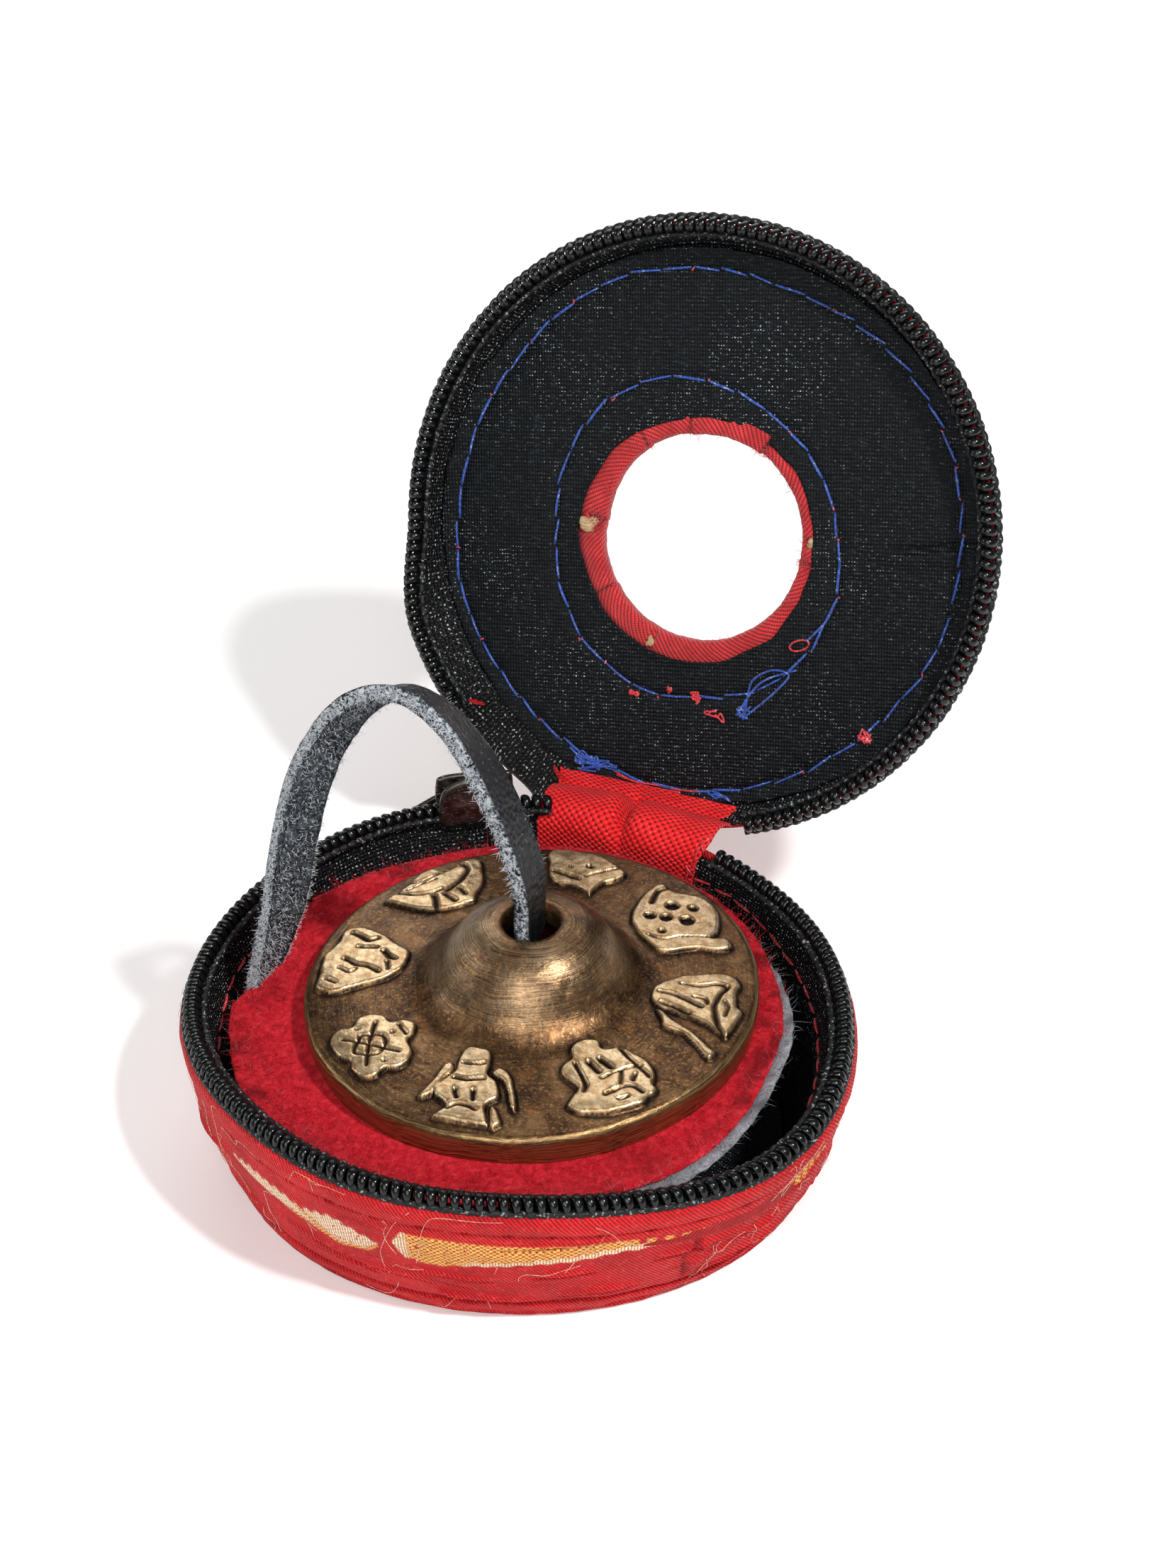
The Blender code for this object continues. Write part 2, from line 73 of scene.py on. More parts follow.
# The soft rim isn't round: its radius and height as a few waves round the case.
RIM_R = (47.02, (0.26, 0.62, 0.91, -0.61, 0.68, -0.51, 0.01, -0.01, -0.01, -0.52))
RIM_Z = (26.23, (-0.48, 0.12, -0.49, -0.35, 0.16, 0.49, 0.14, 0.15, -0.15, 0.33))


def waves(series, th):
    total = np.full(np.shape(th), series[0], float)
    for k in range(5):
        total = total + series[1][2 * k] * np.cos((k + 1) * th) + series[1][2 * k + 1] * np.sin((k + 1) * th)
    return total


def rim_r(th):
    th = np.asarray(th, float)
    from_slider = (np.degrees(th) - 123 + 180) % 360 - 180
    return waves(RIM_R, th) - 1.2 * np.exp(-((from_slider / 13) ** 2))


def rim_z(th):
    return waves(RIM_Z, np.asarray(th, float))


def foot_r(th):
    th = np.asarray(th, float)
    return 41.6 + 2.0 * np.cos(2 * (th - math.radians(24))) + np.cos(th)


def tape_line(z):
    return 47.4 - 0.352 * (24.65 - z)


def smooth(x, a, b):
    t = np.clip((np.asarray(x, float) - a) / (b - a), 0, 1)
    return t * t * (3 - 2 * t)


# ---------------------------------------------------------------- noise
def lattice(i, seed):
    h = (i[..., 0] * 374761393 + i[..., 1] * 668265263 + i[..., 2] * 1274126177 + seed * 974711) & 0x7FFFFFFF
    h = ((h ^ (h >> 13)) * 1103515245) & 0x7FFFFFFF
    h = ((h ^ (h >> 16)) * 69069) & 0x7FFFFFFF
    return (h ^ (h >> 15)) % 65521 / 32760.0 - 1.0


def noise(p, size, seed=0, octaves=1):
    """Smooth noise from -1 to 1 at points p, with features of about the given size."""
    p = np.asarray(p, float)
    total, norm = 0.0, 0.0
    for o in range(octaves):
        q = p / np.asarray(size, float) * 2**o
        i = np.floor(q).astype(np.int64)
        f = q - i
        f = f * f * (3 - 2 * f)
        value = 0.0
        for corner in range(8):
            step = np.array([corner & 1, corner >> 1 & 1, corner >> 2 & 1])
            weight = np.prod(np.where(step == 1, f, 1 - f), axis=-1)
            value = value + weight * lattice(i + step, seed + 31 * o)
        total = total + value * 0.5**o
        norm += 0.5**o
    return total / norm


def noise2(a, b, size, seed=0, octaves=1):
    a, b = np.broadcast_arrays(np.asarray(a, float), np.asarray(b, float))
    return noise(np.stack([a, b, np.full(a.shape, 0.37 * size if np.isscalar(size) else 0.37)], -1), size, seed, octaves)


# ---------------------------------------------------------------- meshes
def make(name, verts, quads=None, tris=None, mats=(), uv=None, attrs=None, mat_index=None, outward=True):
    """A smooth-shaded mesh object. verts in millimetres; uv gives one pair for each corner, in millimetres."""
    quads = np.zeros((0, 4), np.int64) if quads is None else np.asarray(quads, np.int64).reshape(-1, 4)
    tris = np.zeros((0, 3), np.int64) if tris is None else np.asarray(tris, np.int64).reshape(-1, 3)
    me = bpy.data.meshes.new(name)
    co = np.asarray(verts, float).reshape(-1, 3) * MM
    me.vertices.add(len(co))
    me.vertices.foreach_set("co", co.ravel())
    loops = np.concatenate([quads.ravel(), tris.ravel()]).astype(np.int32)
    me.loops.add(len(loops))
    me.loops.foreach_set("vertex_index", loops)
    starts = np.concatenate([np.arange(len(quads)) * 4, len(quads) * 4 + np.arange(len(tris)) * 3]).astype(np.int32)
    me.polygons.add(len(starts))
    me.polygons.foreach_set("loop_start", starts)
    me.update(calc_edges=True)
    for m in mats:
        me.materials.append(m)
    if mat_index is not None:
        me.polygons.foreach_set("material_index", np.asarray(mat_index, np.int32))
    if uv is not None:
        layer = me.uv_layers.new(name="Cloth")
        layer.data.foreach_set("uv", np.asarray(uv, np.float32).ravel())
    for key, values in (attrs or {}).items():
        a = me.attributes.new(key, "FLOAT", "POINT")
        a.data.foreach_set("value", np.asarray(values, np.float32).ravel())
    me.polygons.foreach_set("use_smooth", np.ones(len(me.polygons), bool))
    me.validate()
    if outward:
        bm = bmesh.new()
        bm.from_mesh(me)
        bmesh.ops.recalc_face_normals(bm, faces=bm.faces)
        bm.to_mesh(me)
        bm.free()
    obj = bpy.data.objects.new(name, me)
    bpy.context.scene.collection.objects.link(obj)
    return obj


def grid(rows, cols, wrap_cols=False, wrap_rows=False):
    i = np.arange(cols if wrap_cols else cols - 1)
    j = np.arange(rows if wrap_rows else rows - 1)
    i, j = np.meshgrid(i, j)
    i2, j2 = (i + 1) % cols, (j + 1) % rows
    return np.stack([j * cols + i, j * cols + i2, j2 * cols + i2, j2 * cols + i], -1).reshape(-1, 4)


def grid_uv(u, v, wrap_cols=False, wrap_rows=False):
    """Corner places for a grid: u runs along the columns, v along the rows, each with one more entry where it wraps."""
    c = len(u) - 1
    r = len(v) - 1
    i, j = np.meshgrid(np.arange(c), np.arange(r))
    U = np.stack([u[i], u[i + 1], u[i + 1], u[i]], -1)
    V = np.stack([v[j], v[j], v[j + 1], v[j + 1]], -1)
    return np.stack([U, V], -1).reshape(-1, 2)


class Bag:
    """Gathers many small closed solids into one mesh."""

    def __init__(self):
        self.v, self.q, self.t, self.n, self.a = [], [], [], 0, []

    def add(self, v, q, t, a=0.0):
        self.v.append(np.asarray(v, float).reshape(-1, 3))
        self.q.append(np.asarray(q, np.int64).reshape(-1, 4) + self.n)
        self.t.append(np.asarray(t, np.int64).reshape(-1, 3) + self.n)
        self.a.append(np.full(len(self.v[-1]), float(a)))
        self.n += len(self.v[-1])

    def done(self, name, mats, outward=True, move=None):
        v = np.concatenate(self.v)
        if move is not None:
            v = move(v)
        return make(name, v, np.concatenate(self.q), np.concatenate(self.t), mats, attrs={"tone": np.concatenate(self.a)}, outward=outward)


def unit(v):
    v = np.asarray(v, float)
    return v / np.maximum(np.linalg.norm(v, axis=-1, keepdims=True), 1e-12)


def tube(path, rad, sides=8, up=(0, 0, 1), flat=1.0):
    """A closed tube along a path: rad across up, flat times rad the other way."""
    p = np.asarray(path, float)
    n = len(p)
    rad = np.broadcast_to(np.asarray(rad, float), (n,))
    t = unit(np.gradient(p, axis=0))
    u = np.broadcast_to(np.asarray(up, float), (n, 3))
    u = unit(u - (u * t).sum(-1, keepdims=True) * t)
    w = np.cross(t, u)
    ang = np.arange(sides) * TAU / sides
    ring = p[:, None] + rad[:, None, None] * (np.cos(ang)[None, :, None] * u[:, None] + flat * np.sin(ang)[None, :, None] * w[:, None])
    v = np.concatenate([ring.reshape(-1, 3), p[:1], p[-1:]])
    q = grid(n, sides, wrap_cols=True)
    k = np.arange(sides)
    k2 = (k + 1) % sides
    a, b = n * sides, n * sides + 1
    t1 = np.stack([np.full(sides, a), k2, k], -1)
    t2 = np.stack([np.full(sides, b), (n - 1) * sides + k, (n - 1) * sides + k2], -1)
    return v, q, np.concatenate([t1, t2])


def curve(points, per=8, closed=False):
    """Catmull-Rom through the points."""
    p = np.asarray(points, float)
    n = len(p)
    out = []
    spans = n if closed else n - 1
    for i in range(spans):
        if closed:
            a, b, c, d = p[(i - 1) % n], p[i], p[(i + 1) % n], p[(i + 2) % n]
        else:
            a, b, c, d = p[max(i - 1, 0)], p[i], p[i + 1], p[min(i + 2, n - 1)]
        for s in np.arange(per) / per:
            out.append(0.5 * (2 * b + (c - a) * s + (2 * a - 5 * b + 4 * c - d) * s**2 + (3 * b - a - 3 * c + d) * s**3))
    if not closed:
        out.append(p[-1])
    return np.array(out)


def fibres(roots, dirs, length, rad, seed, curl=0.5, seg=3):
    """Thin tapering hairs as closed three-sided spikes."""
    g = np.random.default_rng(seed)
    roots = np.asarray(roots, float)
    n = len(roots)
    d = unit(dirs)
    length = np.broadcast_to(np.asarray(length, float), (n,))
    bend = unit(g.normal(size=(n, 3)))
    bend2 = unit(g.normal(size=(n, 3)))
    side = unit(np.cross(d, unit(g.normal(size=(n, 3)))))
    other = np.cross(d, side)
    rings = []
    for k in range(seg):
        s = k / seg
        at = roots + length[:, None] * (d * s + curl * (bend * s**2 * 0.7 + bend2 * s**3 * 0.5))
        r = rad * (1 - 0.55 * s)
        for a in range(3):
            rings.append(at + r * (math.cos(a * TAU / 3) * side + math.sin(a * TAU / 3) * other))
    tip = roots + length[:, None] * (d + curl * (bend * 0.7 + bend2 * 0.5))
    v = np.stack(rings + [tip], 1)
    m = 3 * seg + 1
    q, t = [], [(2, 1, 0)]
    for k in range(seg - 1):
        for a in range(3):
            b = (a + 1) % 3
            q.append((3 * k + a, 3 * k + b, 3 * k + 3 + b, 3 * k + 3 + a))
    for a in range(3):
        t.append((3 * seg - 3 + a, 3 * seg - 3 + (a + 1) % 3, m - 1))
    base = (np.arange(n) * m)[:, None, None]
    return v.reshape(-1, 3), (base + np.array(q)[None]).reshape(-1, 4), (base + np.array(t)[None]).reshape(-1, 3)


# ---------------------------------------------------------------- places
def turn_x(p, deg):
    a = math.radians(deg)
    return np.stack([p[..., 0], p[..., 1] * math.cos(a) - p[..., 2] * math.sin(a), p[..., 1] * math.sin(a) + p[..., 2] * math.cos(a)], -1)


def turn_y(p, deg):
    a = math.radians(deg)
    return np.stack([p[..., 0] * math.cos(a) + p[..., 2] * math.sin(a), p[..., 1], -p[..., 0] * math.sin(a) + p[..., 2] * math.cos(a)], -1)


def turn_z(p, deg):
    a = math.radians(deg)
    return np.stack([p[..., 0] * math.cos(a) - p[..., 1] * math.sin(a), p[..., 0] * math.sin(a) + p[..., 1] * math.cos(a), p[..., 2]], -1)


def open_lid(p):
    """From the shut lid to the lid as it stands open."""
    p = np.asarray(p, float) - np.array([0, HINGE_R, HINGE_Z])
    return HINGE + turn_z(turn_x(p, -LID_OPEN), HINGE_AT)


def in_stack(p):
    p = np.asarray(p, float) - np.array([0, 0, 27.6])
    return STACK_AT + turn_y(turn_x(p, STACK_LEAN_X), STACK_LEAN_Y)


def polar(r, th, z):
    r, th, z = np.broadcast_arrays(np.asarray(r, float), np.asarray(th, float), np.asarray(z, float))
    return np.stack([r * np.cos(th), r * np.sin(th), z], -1)


# ---------------------------------------------------------------- materials
class Shade:
    def __init__(self, name):
        self.mat = bpy.data.materials.new(name)
        self.mat.use_nodes = True
        self.tree = self.mat.node_tree
        self.tree.nodes.clear()
        out = self.tree.nodes.new("ShaderNodeOutputMaterial")
        self.b = self.tree.nodes.new("ShaderNodeBsdfPrincipled")
        self.tree.links.new(self.b.outputs[0], out.inputs[0])

    def put(self, socket, value):
        if isinstance(value, bpy.types.NodeSocket):
            self.tree.links.new(value, socket)
        elif isinstance(value, tuple) and len(value) == 3 and socket.type == "RGBA":
            socket.default_value = (*value, 1)
        else:
            socket.default_value = value

    def set(self, **values):
        names = {"color": "Base Color", "metal": "Metallic", "rough": "Roughness", "normal": "Normal", "sheen": "Sheen Weight", "sheen_rough": "Sheen Roughness", "sheen_tint": "Sheen Tint", "coat": "Coat Weight", "coat_rough": "Coat Roughness", "spec": "Specular IOR Level", "sss": "Subsurface Weight"}
        for key, value in values.items():
            self.put(self.b.inputs[names[key]], value)
        return self.mat

    def node(self, kind, **props):
        n = self.tree.nodes.new("ShaderNode" + kind)
        for key, value in props.items():
            setattr(n, key, value)
        return n

    def place(self):
        return self.node("TexCoord").outputs["Object"]

    def uv(self):
        return self.node("UVMap", uv_map="Cloth").outputs[0]

    def attr(self, name):
        return self.node("Attribute", attribute_name=name).outputs["Fac"]

    def stretch(self, vec, scale, rot=(0, 0, 0)):
        n = self.node("Mapping")
        self.put(n.inputs["Vector"], vec)
        n.inputs["Scale"].default_value = scale
        n.inputs["Rotation"].default_value = rot
        return n.outputs[0]

    def noise(self, vec, scale, detail=4.0, rough=0.6, distort=0.0):
        n = self.node("TexNoise")
        self.put(n.inputs["Vector"], vec)
        n.inputs["Scale"].default_value = scale
        n.inputs["Detail"].default_value = detail
        n.inputs["Roughness"].default_value = rough
        n.inputs["Distortion"].default_value = distort
        return n.outputs["Fac"]

    def cells(self, vec, scale, feature="F1"):
        n = self.node("TexVoronoi", feature=feature)
        self.put(n.inputs["Vector"], vec)
        n.inputs["Scale"].default_value = scale
        return n.outputs["Distance"]

    def wave(self, vec, period, along="X", distort=0.0, profile="SIN", detail_scale=1.0):
        n = self.node("TexWave", wave_type="BANDS", bands_direction=along, wave_profile=profile)
        self.put(n.inputs["Vector"], vec)
        n.inputs["Scale"].default_value = 0.314159 / period
        n.inputs["Distortion"].default_value = distort
        n.inputs["Detail"].default_value = 1.0
        n.inputs["Detail Scale"].default_value = detail_scale
        return n.outputs["Fac"]

    def math(self, op, a, b=0.0, clamp=False):
        n = self.node("Math", operation=op, use_clamp=clamp)
        self.put(n.inputs[0], a)
        self.put(n.inputs[1], b)
        return n.outputs[0]

    def span(self, x, a, b, lo=0.0, hi=1.0):
        n = self.node("MapRange", interpolation_type="SMOOTHSTEP")
        self.put(n.inputs["Value"], x)
        for key, value in (("From Min", a), ("From Max", b), ("To Min", lo), ("To Max", hi)):
            n.inputs[key].default_value = value
        return n.outputs[0]

    def ramp(self, fac, *stops):
        n = self.node("ValToRGB")
        self.put(n.inputs[0], fac)
        e = n.color_ramp.elements
        while len(e) < len(stops):
            e.new(0.5)
        for el, (pos, col) in zip(e, stops):
            el.position = pos
            el.color = (*col, 1)
        return n.outputs[0]

    def mix(self, fac, a, b, blend="MIX"):
        n = self.node("Mix", data_type="RGBA", blend_type=blend)
        self.put(n.inputs[0], fac)
        self.put(n.inputs[6], a)
        self.put(n.inputs[7], b)
        return n.outputs[2]

    def bump(self, height, distance, strength=1.0, under=None):
        n = self.node("Bump")
        self.put(n.inputs["Height"], height)
        n.inputs["Distance"].default_value = distance * MM
        n.inputs["Strength"].default_value = strength
        if under is not None:
            self.put(n.inputs["Normal"], under)
        return n.outputs[0]


def bronze_material():
    """Cast bronze: dark brown patina with golden speckle, lathe marks along the profile, and worn pale gold on the raised motifs."""
    s = Shade("bronze")
    at = s.place()
    top, pit, rim, polish_and_highlight, run = s.attr("top"), s.attr("pit"), s.attr("rim"), s.attr("polish_and_highlight"), s.attr("run")
    broad = s.noise(at, 150, 7, 0.74, 0.5)
    fine = s.noise(at, 900, 6, 0.7)
    lines = s.node("CombineXYZ")
    s.put(lines.inputs[0], s.math("ADD", run, s.math("MULTIPLY", s.noise(at, 90, 2, 0.5), 2.5)))
    s.put(lines.inputs[1], s.math("MULTIPLY", s.noise(at, 60, 2, 0.5), 1.5))
    turned = s.noise(lines.outputs[0], 5.5, 4, 0.7)
    body = s.ramp(broad, (0.33, (0.026, 0.012, 0.007)), (0.46, (0.085, 0.040, 0.018)), (0.58, (0.175, 0.092, 0.040)), (0.74, (0.34, 0.200, 0.092)))
    body = s.mix(s.math("MULTIPLY", s.span(turned, 0.50, 0.70), 0.30), body, (0.44, 0.280, 0.135))
    body = s.mix(s.math("MULTIPLY", s.span(turned, 0.47, 0.34), 0.30), body, (0.030, 0.015, 0.009))
    speck = s.span(s.noise(at, 1900, 3, 0.65), 0.53, 0.64)
    body = s.mix(s.math("MULTIPLY", speck, 0.35), body, (0.56, 0.300, 0.105))
    dots = s.span(s.noise(at, 2700, 2, 0.5), 0.58, 0.68)
    body = s.mix(s.math("MULTIPLY", dots, 0.5), body, (0.010, 0.007, 0.006))
    orange = s.span(s.noise(at, 260, 4, 0.6), 0.53, 0.72)
    body = s.mix(s.math("MULTIPLY", orange, 0.3), body, (0.36, 0.135, 0.034))
    # Pale lathe polish on the bell, partly a painted highlight: cymbal() makes it brightest at 215 and 300 degrees
    # round the boss.
    body = s.mix(s.math("MULTIPLY", polish_and_highlight, s.span(turned, 0.35, 0.62)), body, (0.60, 0.455, 0.285))
    filed = s.mix(s.span(turned, 0.36, 0.64), (0.075, 0.040, 0.017), (0.42, 0.265, 0.115))
    body = s.mix(rim, body, filed)
    worn = s.span(s.noise(at, 700, 5, 0.65), 0.36, 0.62)
    gold = s.mix(worn, (0.50, 0.315, 0.150), (0.80, 0.600, 0.360))
    stain = s.span(s.noise(at, 420, 4, 0.6), 0.56, 0.70)
    gold = s.mix(s.math("MULTIPLY", stain, 0.55), gold, (0.36, 0.185, 0.065))
    nicks = s.span(s.noise(at, 2300, 3, 0.6), 0.60, 0.68)
    gold = s.mix(s.math("MULTIPLY", nicks, 0.6), gold, (0.14, 0.065, 0.025))
    body = s.mix(top, body, gold)
    body = s.mix(pit, body, (0.006, 0.004, 0.004))
    rough = s.math("ADD", s.span(fine, 0.2, 0.8, 0.24, 0.44), s.math("MULTIPLY", top, -0.04))
    n1 = s.bump(fine, 0.08, 0.8)
    n2 = s.bump(turned, 0.045, 0.5, n1)
    n3 = s.bump(s.noise(at, 300, 4, 0.55), 0.34, 0.6, n2)
    s.b.inputs["Metallic"].default_value = 0.88
    return s.set(color=body, rough=rough, normal=n3)


def twill(s, vec, period, angle, depth):
    """The ribs of a twill and the yarns across them, as a height from 0 to 1."""
    ribs = s.wave(s.stretch(vec, (1, 1, 1), (0, 0, angle)), period, "X", 0.6)
    yarn = s.wave(s.stretch(vec, (1, 1, 1), (0, 0, angle)), period * 0.62, "Y", 0.8)
    return s.math("ADD", s.math("MULTIPLY", ribs, 0.7), s.math("MULTIPLY", yarn, 0.3))


def brocade_material():
    """Red twill with woven motifs: cream and gold satin where the attributes ask for it."""
    s = Shade("brocade")
    uv, at = s.uv(), s.place()
    cream, gold, shade = s.attr("cream"), s.attr("gold"), s.attr("shade")
    weave = twill(s, uv, 0.50, math.radians(38), 1)
    big = s.noise(at, 110, 6, 0.66)
    red = s.ramp(big, (0.30, (0.44, 0.006, 0.009)), (0.52, (0.68, 0.012, 0.016)), (0.74, (0.84, 0.024, 0.027)))
    red = s.mix(s.span(weave, 0.12, 0.62), (0.205, 0.006, 0.009), red)
    pale = s.span(s.noise(at, 1500, 3, 0.6), 0.55, 0.68)
    red = s.mix(s.math("MULTIPLY", pale, 0.30), red, (0.90, 0.10, 0.09))
    satin = s.wave(uv, 0.44, "X", 1.4)
    creamy = s.mix(s.span(satin, 0.08, 0.6), (0.62, 0.27, 0.10), (1.0, 0.86, 0.66))
    across, up = s.wave(uv, 0.95, "X", 2.2), s.wave(uv, 0.80, "Y", 2.2)
    basket = s.math("MAXIMUM", s.math("MULTIPLY", across, up), s.math("MULTIPLY", s.math("SUBTRACT", 1.0, across), s.math("SUBTRACT", 1.0, up)))
    golden = s.mix(s.span(basket, 0.16, 0.46), (0.40, 0.060, 0.016), (0.98, 0.52, 0.13))
    broken = s.span(s.noise(uv, 1.3, 2, 0.5), 0.28, 0.42)
    col = s.mix(s.math("MULTIPLY", gold, broken), red, golden)
    col = s.mix(s.math("MULTIPLY", cream, broken), col, creamy)
    # shade: painted shade on the wall's creases, folds, stitch holes, turned-in top and foot; on the lid, a dark line
    # along the shoulder.
    col = s.mix(shade, col, (0.070, 0.002, 0.004))
    both = s.math("ADD", cream, gold, True)
    height = s.math("ADD", s.math("MULTIPLY", weave, 1.0), s.math("MULTIPLY", both, s.math("ADD", satin, 0.6)))
    n = s.bump(height, 0.20, 1.0)
    n = s.bump(s.noise(at, 430, 5, 0.62), 0.42, 0.7, n)
    s.b.inputs["Sheen Weight"].default_value = 0.04
    s.b.inputs["Sheen Roughness"].default_value = 0.4
    s.b.inputs["Sheen Tint"].default_value = (1, 0.45, 0.4, 1)
    s.b.inputs["Specular IOR Level"].default_value = 0.16
    return s.set(color=col, rough=s.span(weave, 0, 1, 0.78, 0.5), normal=n)


def lining_material():
    """Black taffeta: a fine plain weave, with painted glints on its floats."""
    s = Shade("lining")
    uv, at = s.uv(), s.place()
    slant = s.stretch(uv, (1, 1, 1), (0, 0, 0.16))
    warp, weft = s.wave(slant, 0.46, "X", 1.2), s.wave(slant, 0.62, "Y", 1.2)
    weave = s.math("MULTIPLY", warp, weft)
    col = s.mix(s.span(weave, 0.10, 0.60), (0.0008, 0.0012, 0.0016), (0.0070, 0.0105, 0.0135))
    slub = s.span(s.noise(s.stretch(uv, (0.35, 2.2, 1)), 1.3, 3, 0.6), 0.54, 0.70)
    col = s.mix(s.math("MULTIPLY", slub, 0.55), col, (0.022, 0.031, 0.038))
    # Painted glints: pale specks on the weave floats, stronger in broad painted sheen patches.
    worn = s.span(s.noise(at, 55, 3, 0.55), 0.44, 0.64)
    painted_glint_fleck = s.span(s.noise(s.stretch(slant, (0.55, 1.3, 1)), 2.6, 2, 0.5), 0.58, 0.66)
    col = s.mix(s.math("MULTIPLY", s.math("MULTIPLY", painted_glint_fleck, s.span(weave, 0.2, 0.6)), s.math("ADD", s.math("MULTIPLY", worn, 0.8), 0.15)), col, (0.42, 0.46, 0.48))
    n = s.bump(weave, 0.14, 1.0)
    n = s.bump(s.noise(at, 170, 4, 0.55), 0.6, 0.6, n)
    s.b.inputs["Specular IOR Level"].default_value = 0.14
    return s.set(color=col, rough=s.span(weave, 0, 1, 0.60, 0.34), normal=n)


def tape_material():
    """Black knit zip tape: rows of loops, with painted glints on them."""
    s = Shade("zip_tape")
    uv, at = s.uv(), s.place()
    loops = s.math("MULTIPLY", s.wave(uv, 0.66, "X", 1.6), s.wave(uv, 0.56, "Y", 1.6))
    col = s.mix(s.span(loops, 0.1, 0.7), (0.0008, 0.0009, 0.0010), (0.0055, 0.0062, 0.0068))
    # Painted glints: pale specks on the crests of the loops.
    glint = s.span(s.noise(uv, 2.3, 2, 0.55), 0.555, 0.635)
    col = s.mix(s.math("MULTIPLY", glint, s.span(loops, 0.12, 0.5)), col, (0.50, 0.53, 0.55))
    n = s.bump(loops, 0.26, 1.0)
    n = s.bump(s.noise(at, 900, 3, 0.6), 0.16, 0.7, n)
    s.b.inputs["Specular IOR Level"].default_value = 0.2
    return s.set(color=col, rough=s.span(loops, 0, 1, 0.62, 0.30), normal=n)


def cord_material():
    """Black knitted cord beside the teeth."""
    s = Shade("knit_cord")
    at = s.place()
    grain = s.noise(at, 1700, 3, 0.6)
    col = s.mix(s.span(grain, 0.35, 0.65), (0.0008, 0.0009, 0.0010), (0.005, 0.0056, 0.006))
    # Painted glints: pale specks on the black cord.
    glint = s.span(s.noise(at, 2100, 2, 0.5), 0.60, 0.67)
    col = s.mix(s.math("MULTIPLY", glint, 0.7), col, (0.32, 0.34, 0.35))
    s.b.inputs["Specular IOR Level"].default_value = 0.3
    return s.set(color=col, rough=s.span(grain, 0.2, 0.8, 0.65, 0.42), normal=s.bump(grain, 0.2, 0.9))


def coil_material():
    """Black moulded nylon with a blue-green cast."""
    s = Shade("coil_nylon")
    at = s.place()
    soft = s.noise(at, 420, 3, 0.5)
    col = s.ramp(soft, (0.35, (0.0008, 0.0012, 0.0014)), (0.65, (0.0018, 0.0028, 0.0031)))
    dust = s.span(s.noise(at, 2400, 2, 0.5), 0.66, 0.74)
    col = s.mix(s.math("MULTIPLY", dust, 0.2), col, (0.06, 0.065, 0.07))
    s.b.inputs["Specular IOR Level"].default_value = 0.38
    return s.set(color=col, rough=s.span(s.noise(at, 1300, 3, 0.6), 0.3, 0.7, 0.16, 0.30), normal=s.bump(soft, 0.08, 0.5))


def thread_material(name, dark, light):
    s = Shade(name)
    at = s.place()
    ply = s.noise(at, 2600, 2, 0.5)
    col = s.mix(s.span(ply, 0.32, 0.66), dark, light)
    col = s.mix(s.math("MULTIPLY", s.span(s.noise(at, 1900, 2, 0.5), 0.60, 0.68), 0.6), col, tuple(0.35 + 0.6 * c for c in light))
    s.b.inputs["Sheen Weight"].default_value = 0.2
    return s.set(color=col, rough=s.span(s.noise(at, 900, 2, 0.5), 0.3, 0.7, 0.35, 0.55), normal=s.bump(ply, 0.12, 0.8))


def felt_material(name, deep, mid, light):
    s = Shade(name)
    at = s.place()
    matted = s.noise(at, 800, 6, 0.7, 0.6)
    hair = s.noise(s.stretch(at, (1, 0.35, 1), (0, 0, 0.5)), 1300, 4, 0.65, 1.5)
    col = s.ramp(matted, (0.22, deep), (0.48, mid), (0.78, light))
    col = s.mix(s.math("MULTIPLY", s.span(hair, 0.55, 0.72), 0.45), col, light)
    col = s.mix(s.math("MULTIPLY", s.span(hair, 0.45, 0.30), 0.45), col, deep)
    col = s.mix(s.attr("stain"), col, tuple(0.28 * c for c in deep))
    n = s.bump(hair, 0.18, 0.8)
    n = s.bump(matted, 0.45, 0.6, n)
    s.b.inputs["Sheen Weight"].default_value = 0.2
    s.b.inputs["Sheen Roughness"].default_value = 0.5
    s.b.inputs["Sheen Tint"].default_value = (*[min(1, 0.10 + 1.6 * c) for c in light], 1)
    s.b.inputs["Specular IOR Level"].default_value = 0.1
    return s.set(color=col, rough=s.span(hair, 0.3, 0.7, 0.96, 0.82), normal=n)


def leather_material():
    """Black grained leather: cracked along the bends, with a hard shine."""
    s = Shade("leather")
    at = s.place()
    grain = s.cells(at, 1100)
    crease = s.noise(s.stretch(at, (1, 1, 0.35)), 600, 6, 0.7)
    col = s.mix(s.span(grain, 0.05, 0.5), (0.0012, 0.0015, 0.0018), (0.0060, 0.0072, 0.0085))
    rub = s.span(s.noise(at, 1700, 3, 0.6), 0.60, 0.70)
    col = s.mix(s.math("MULTIPLY", rub, s.span(s.noise(at, 160, 3, 0.6), 0.45, 0.65)), col, (0.24, 0.26, 0.28))
    n = s.bump(grain, 0.22, 0.9)
    n = s.bump(crease, 0.5, 0.8, n)
    s.b.inputs["Specular IOR Level"].default_value = 0.42
    return s.set(color=col, rough=s.span(crease, 0.3, 0.7, 0.24, 0.50), normal=n)


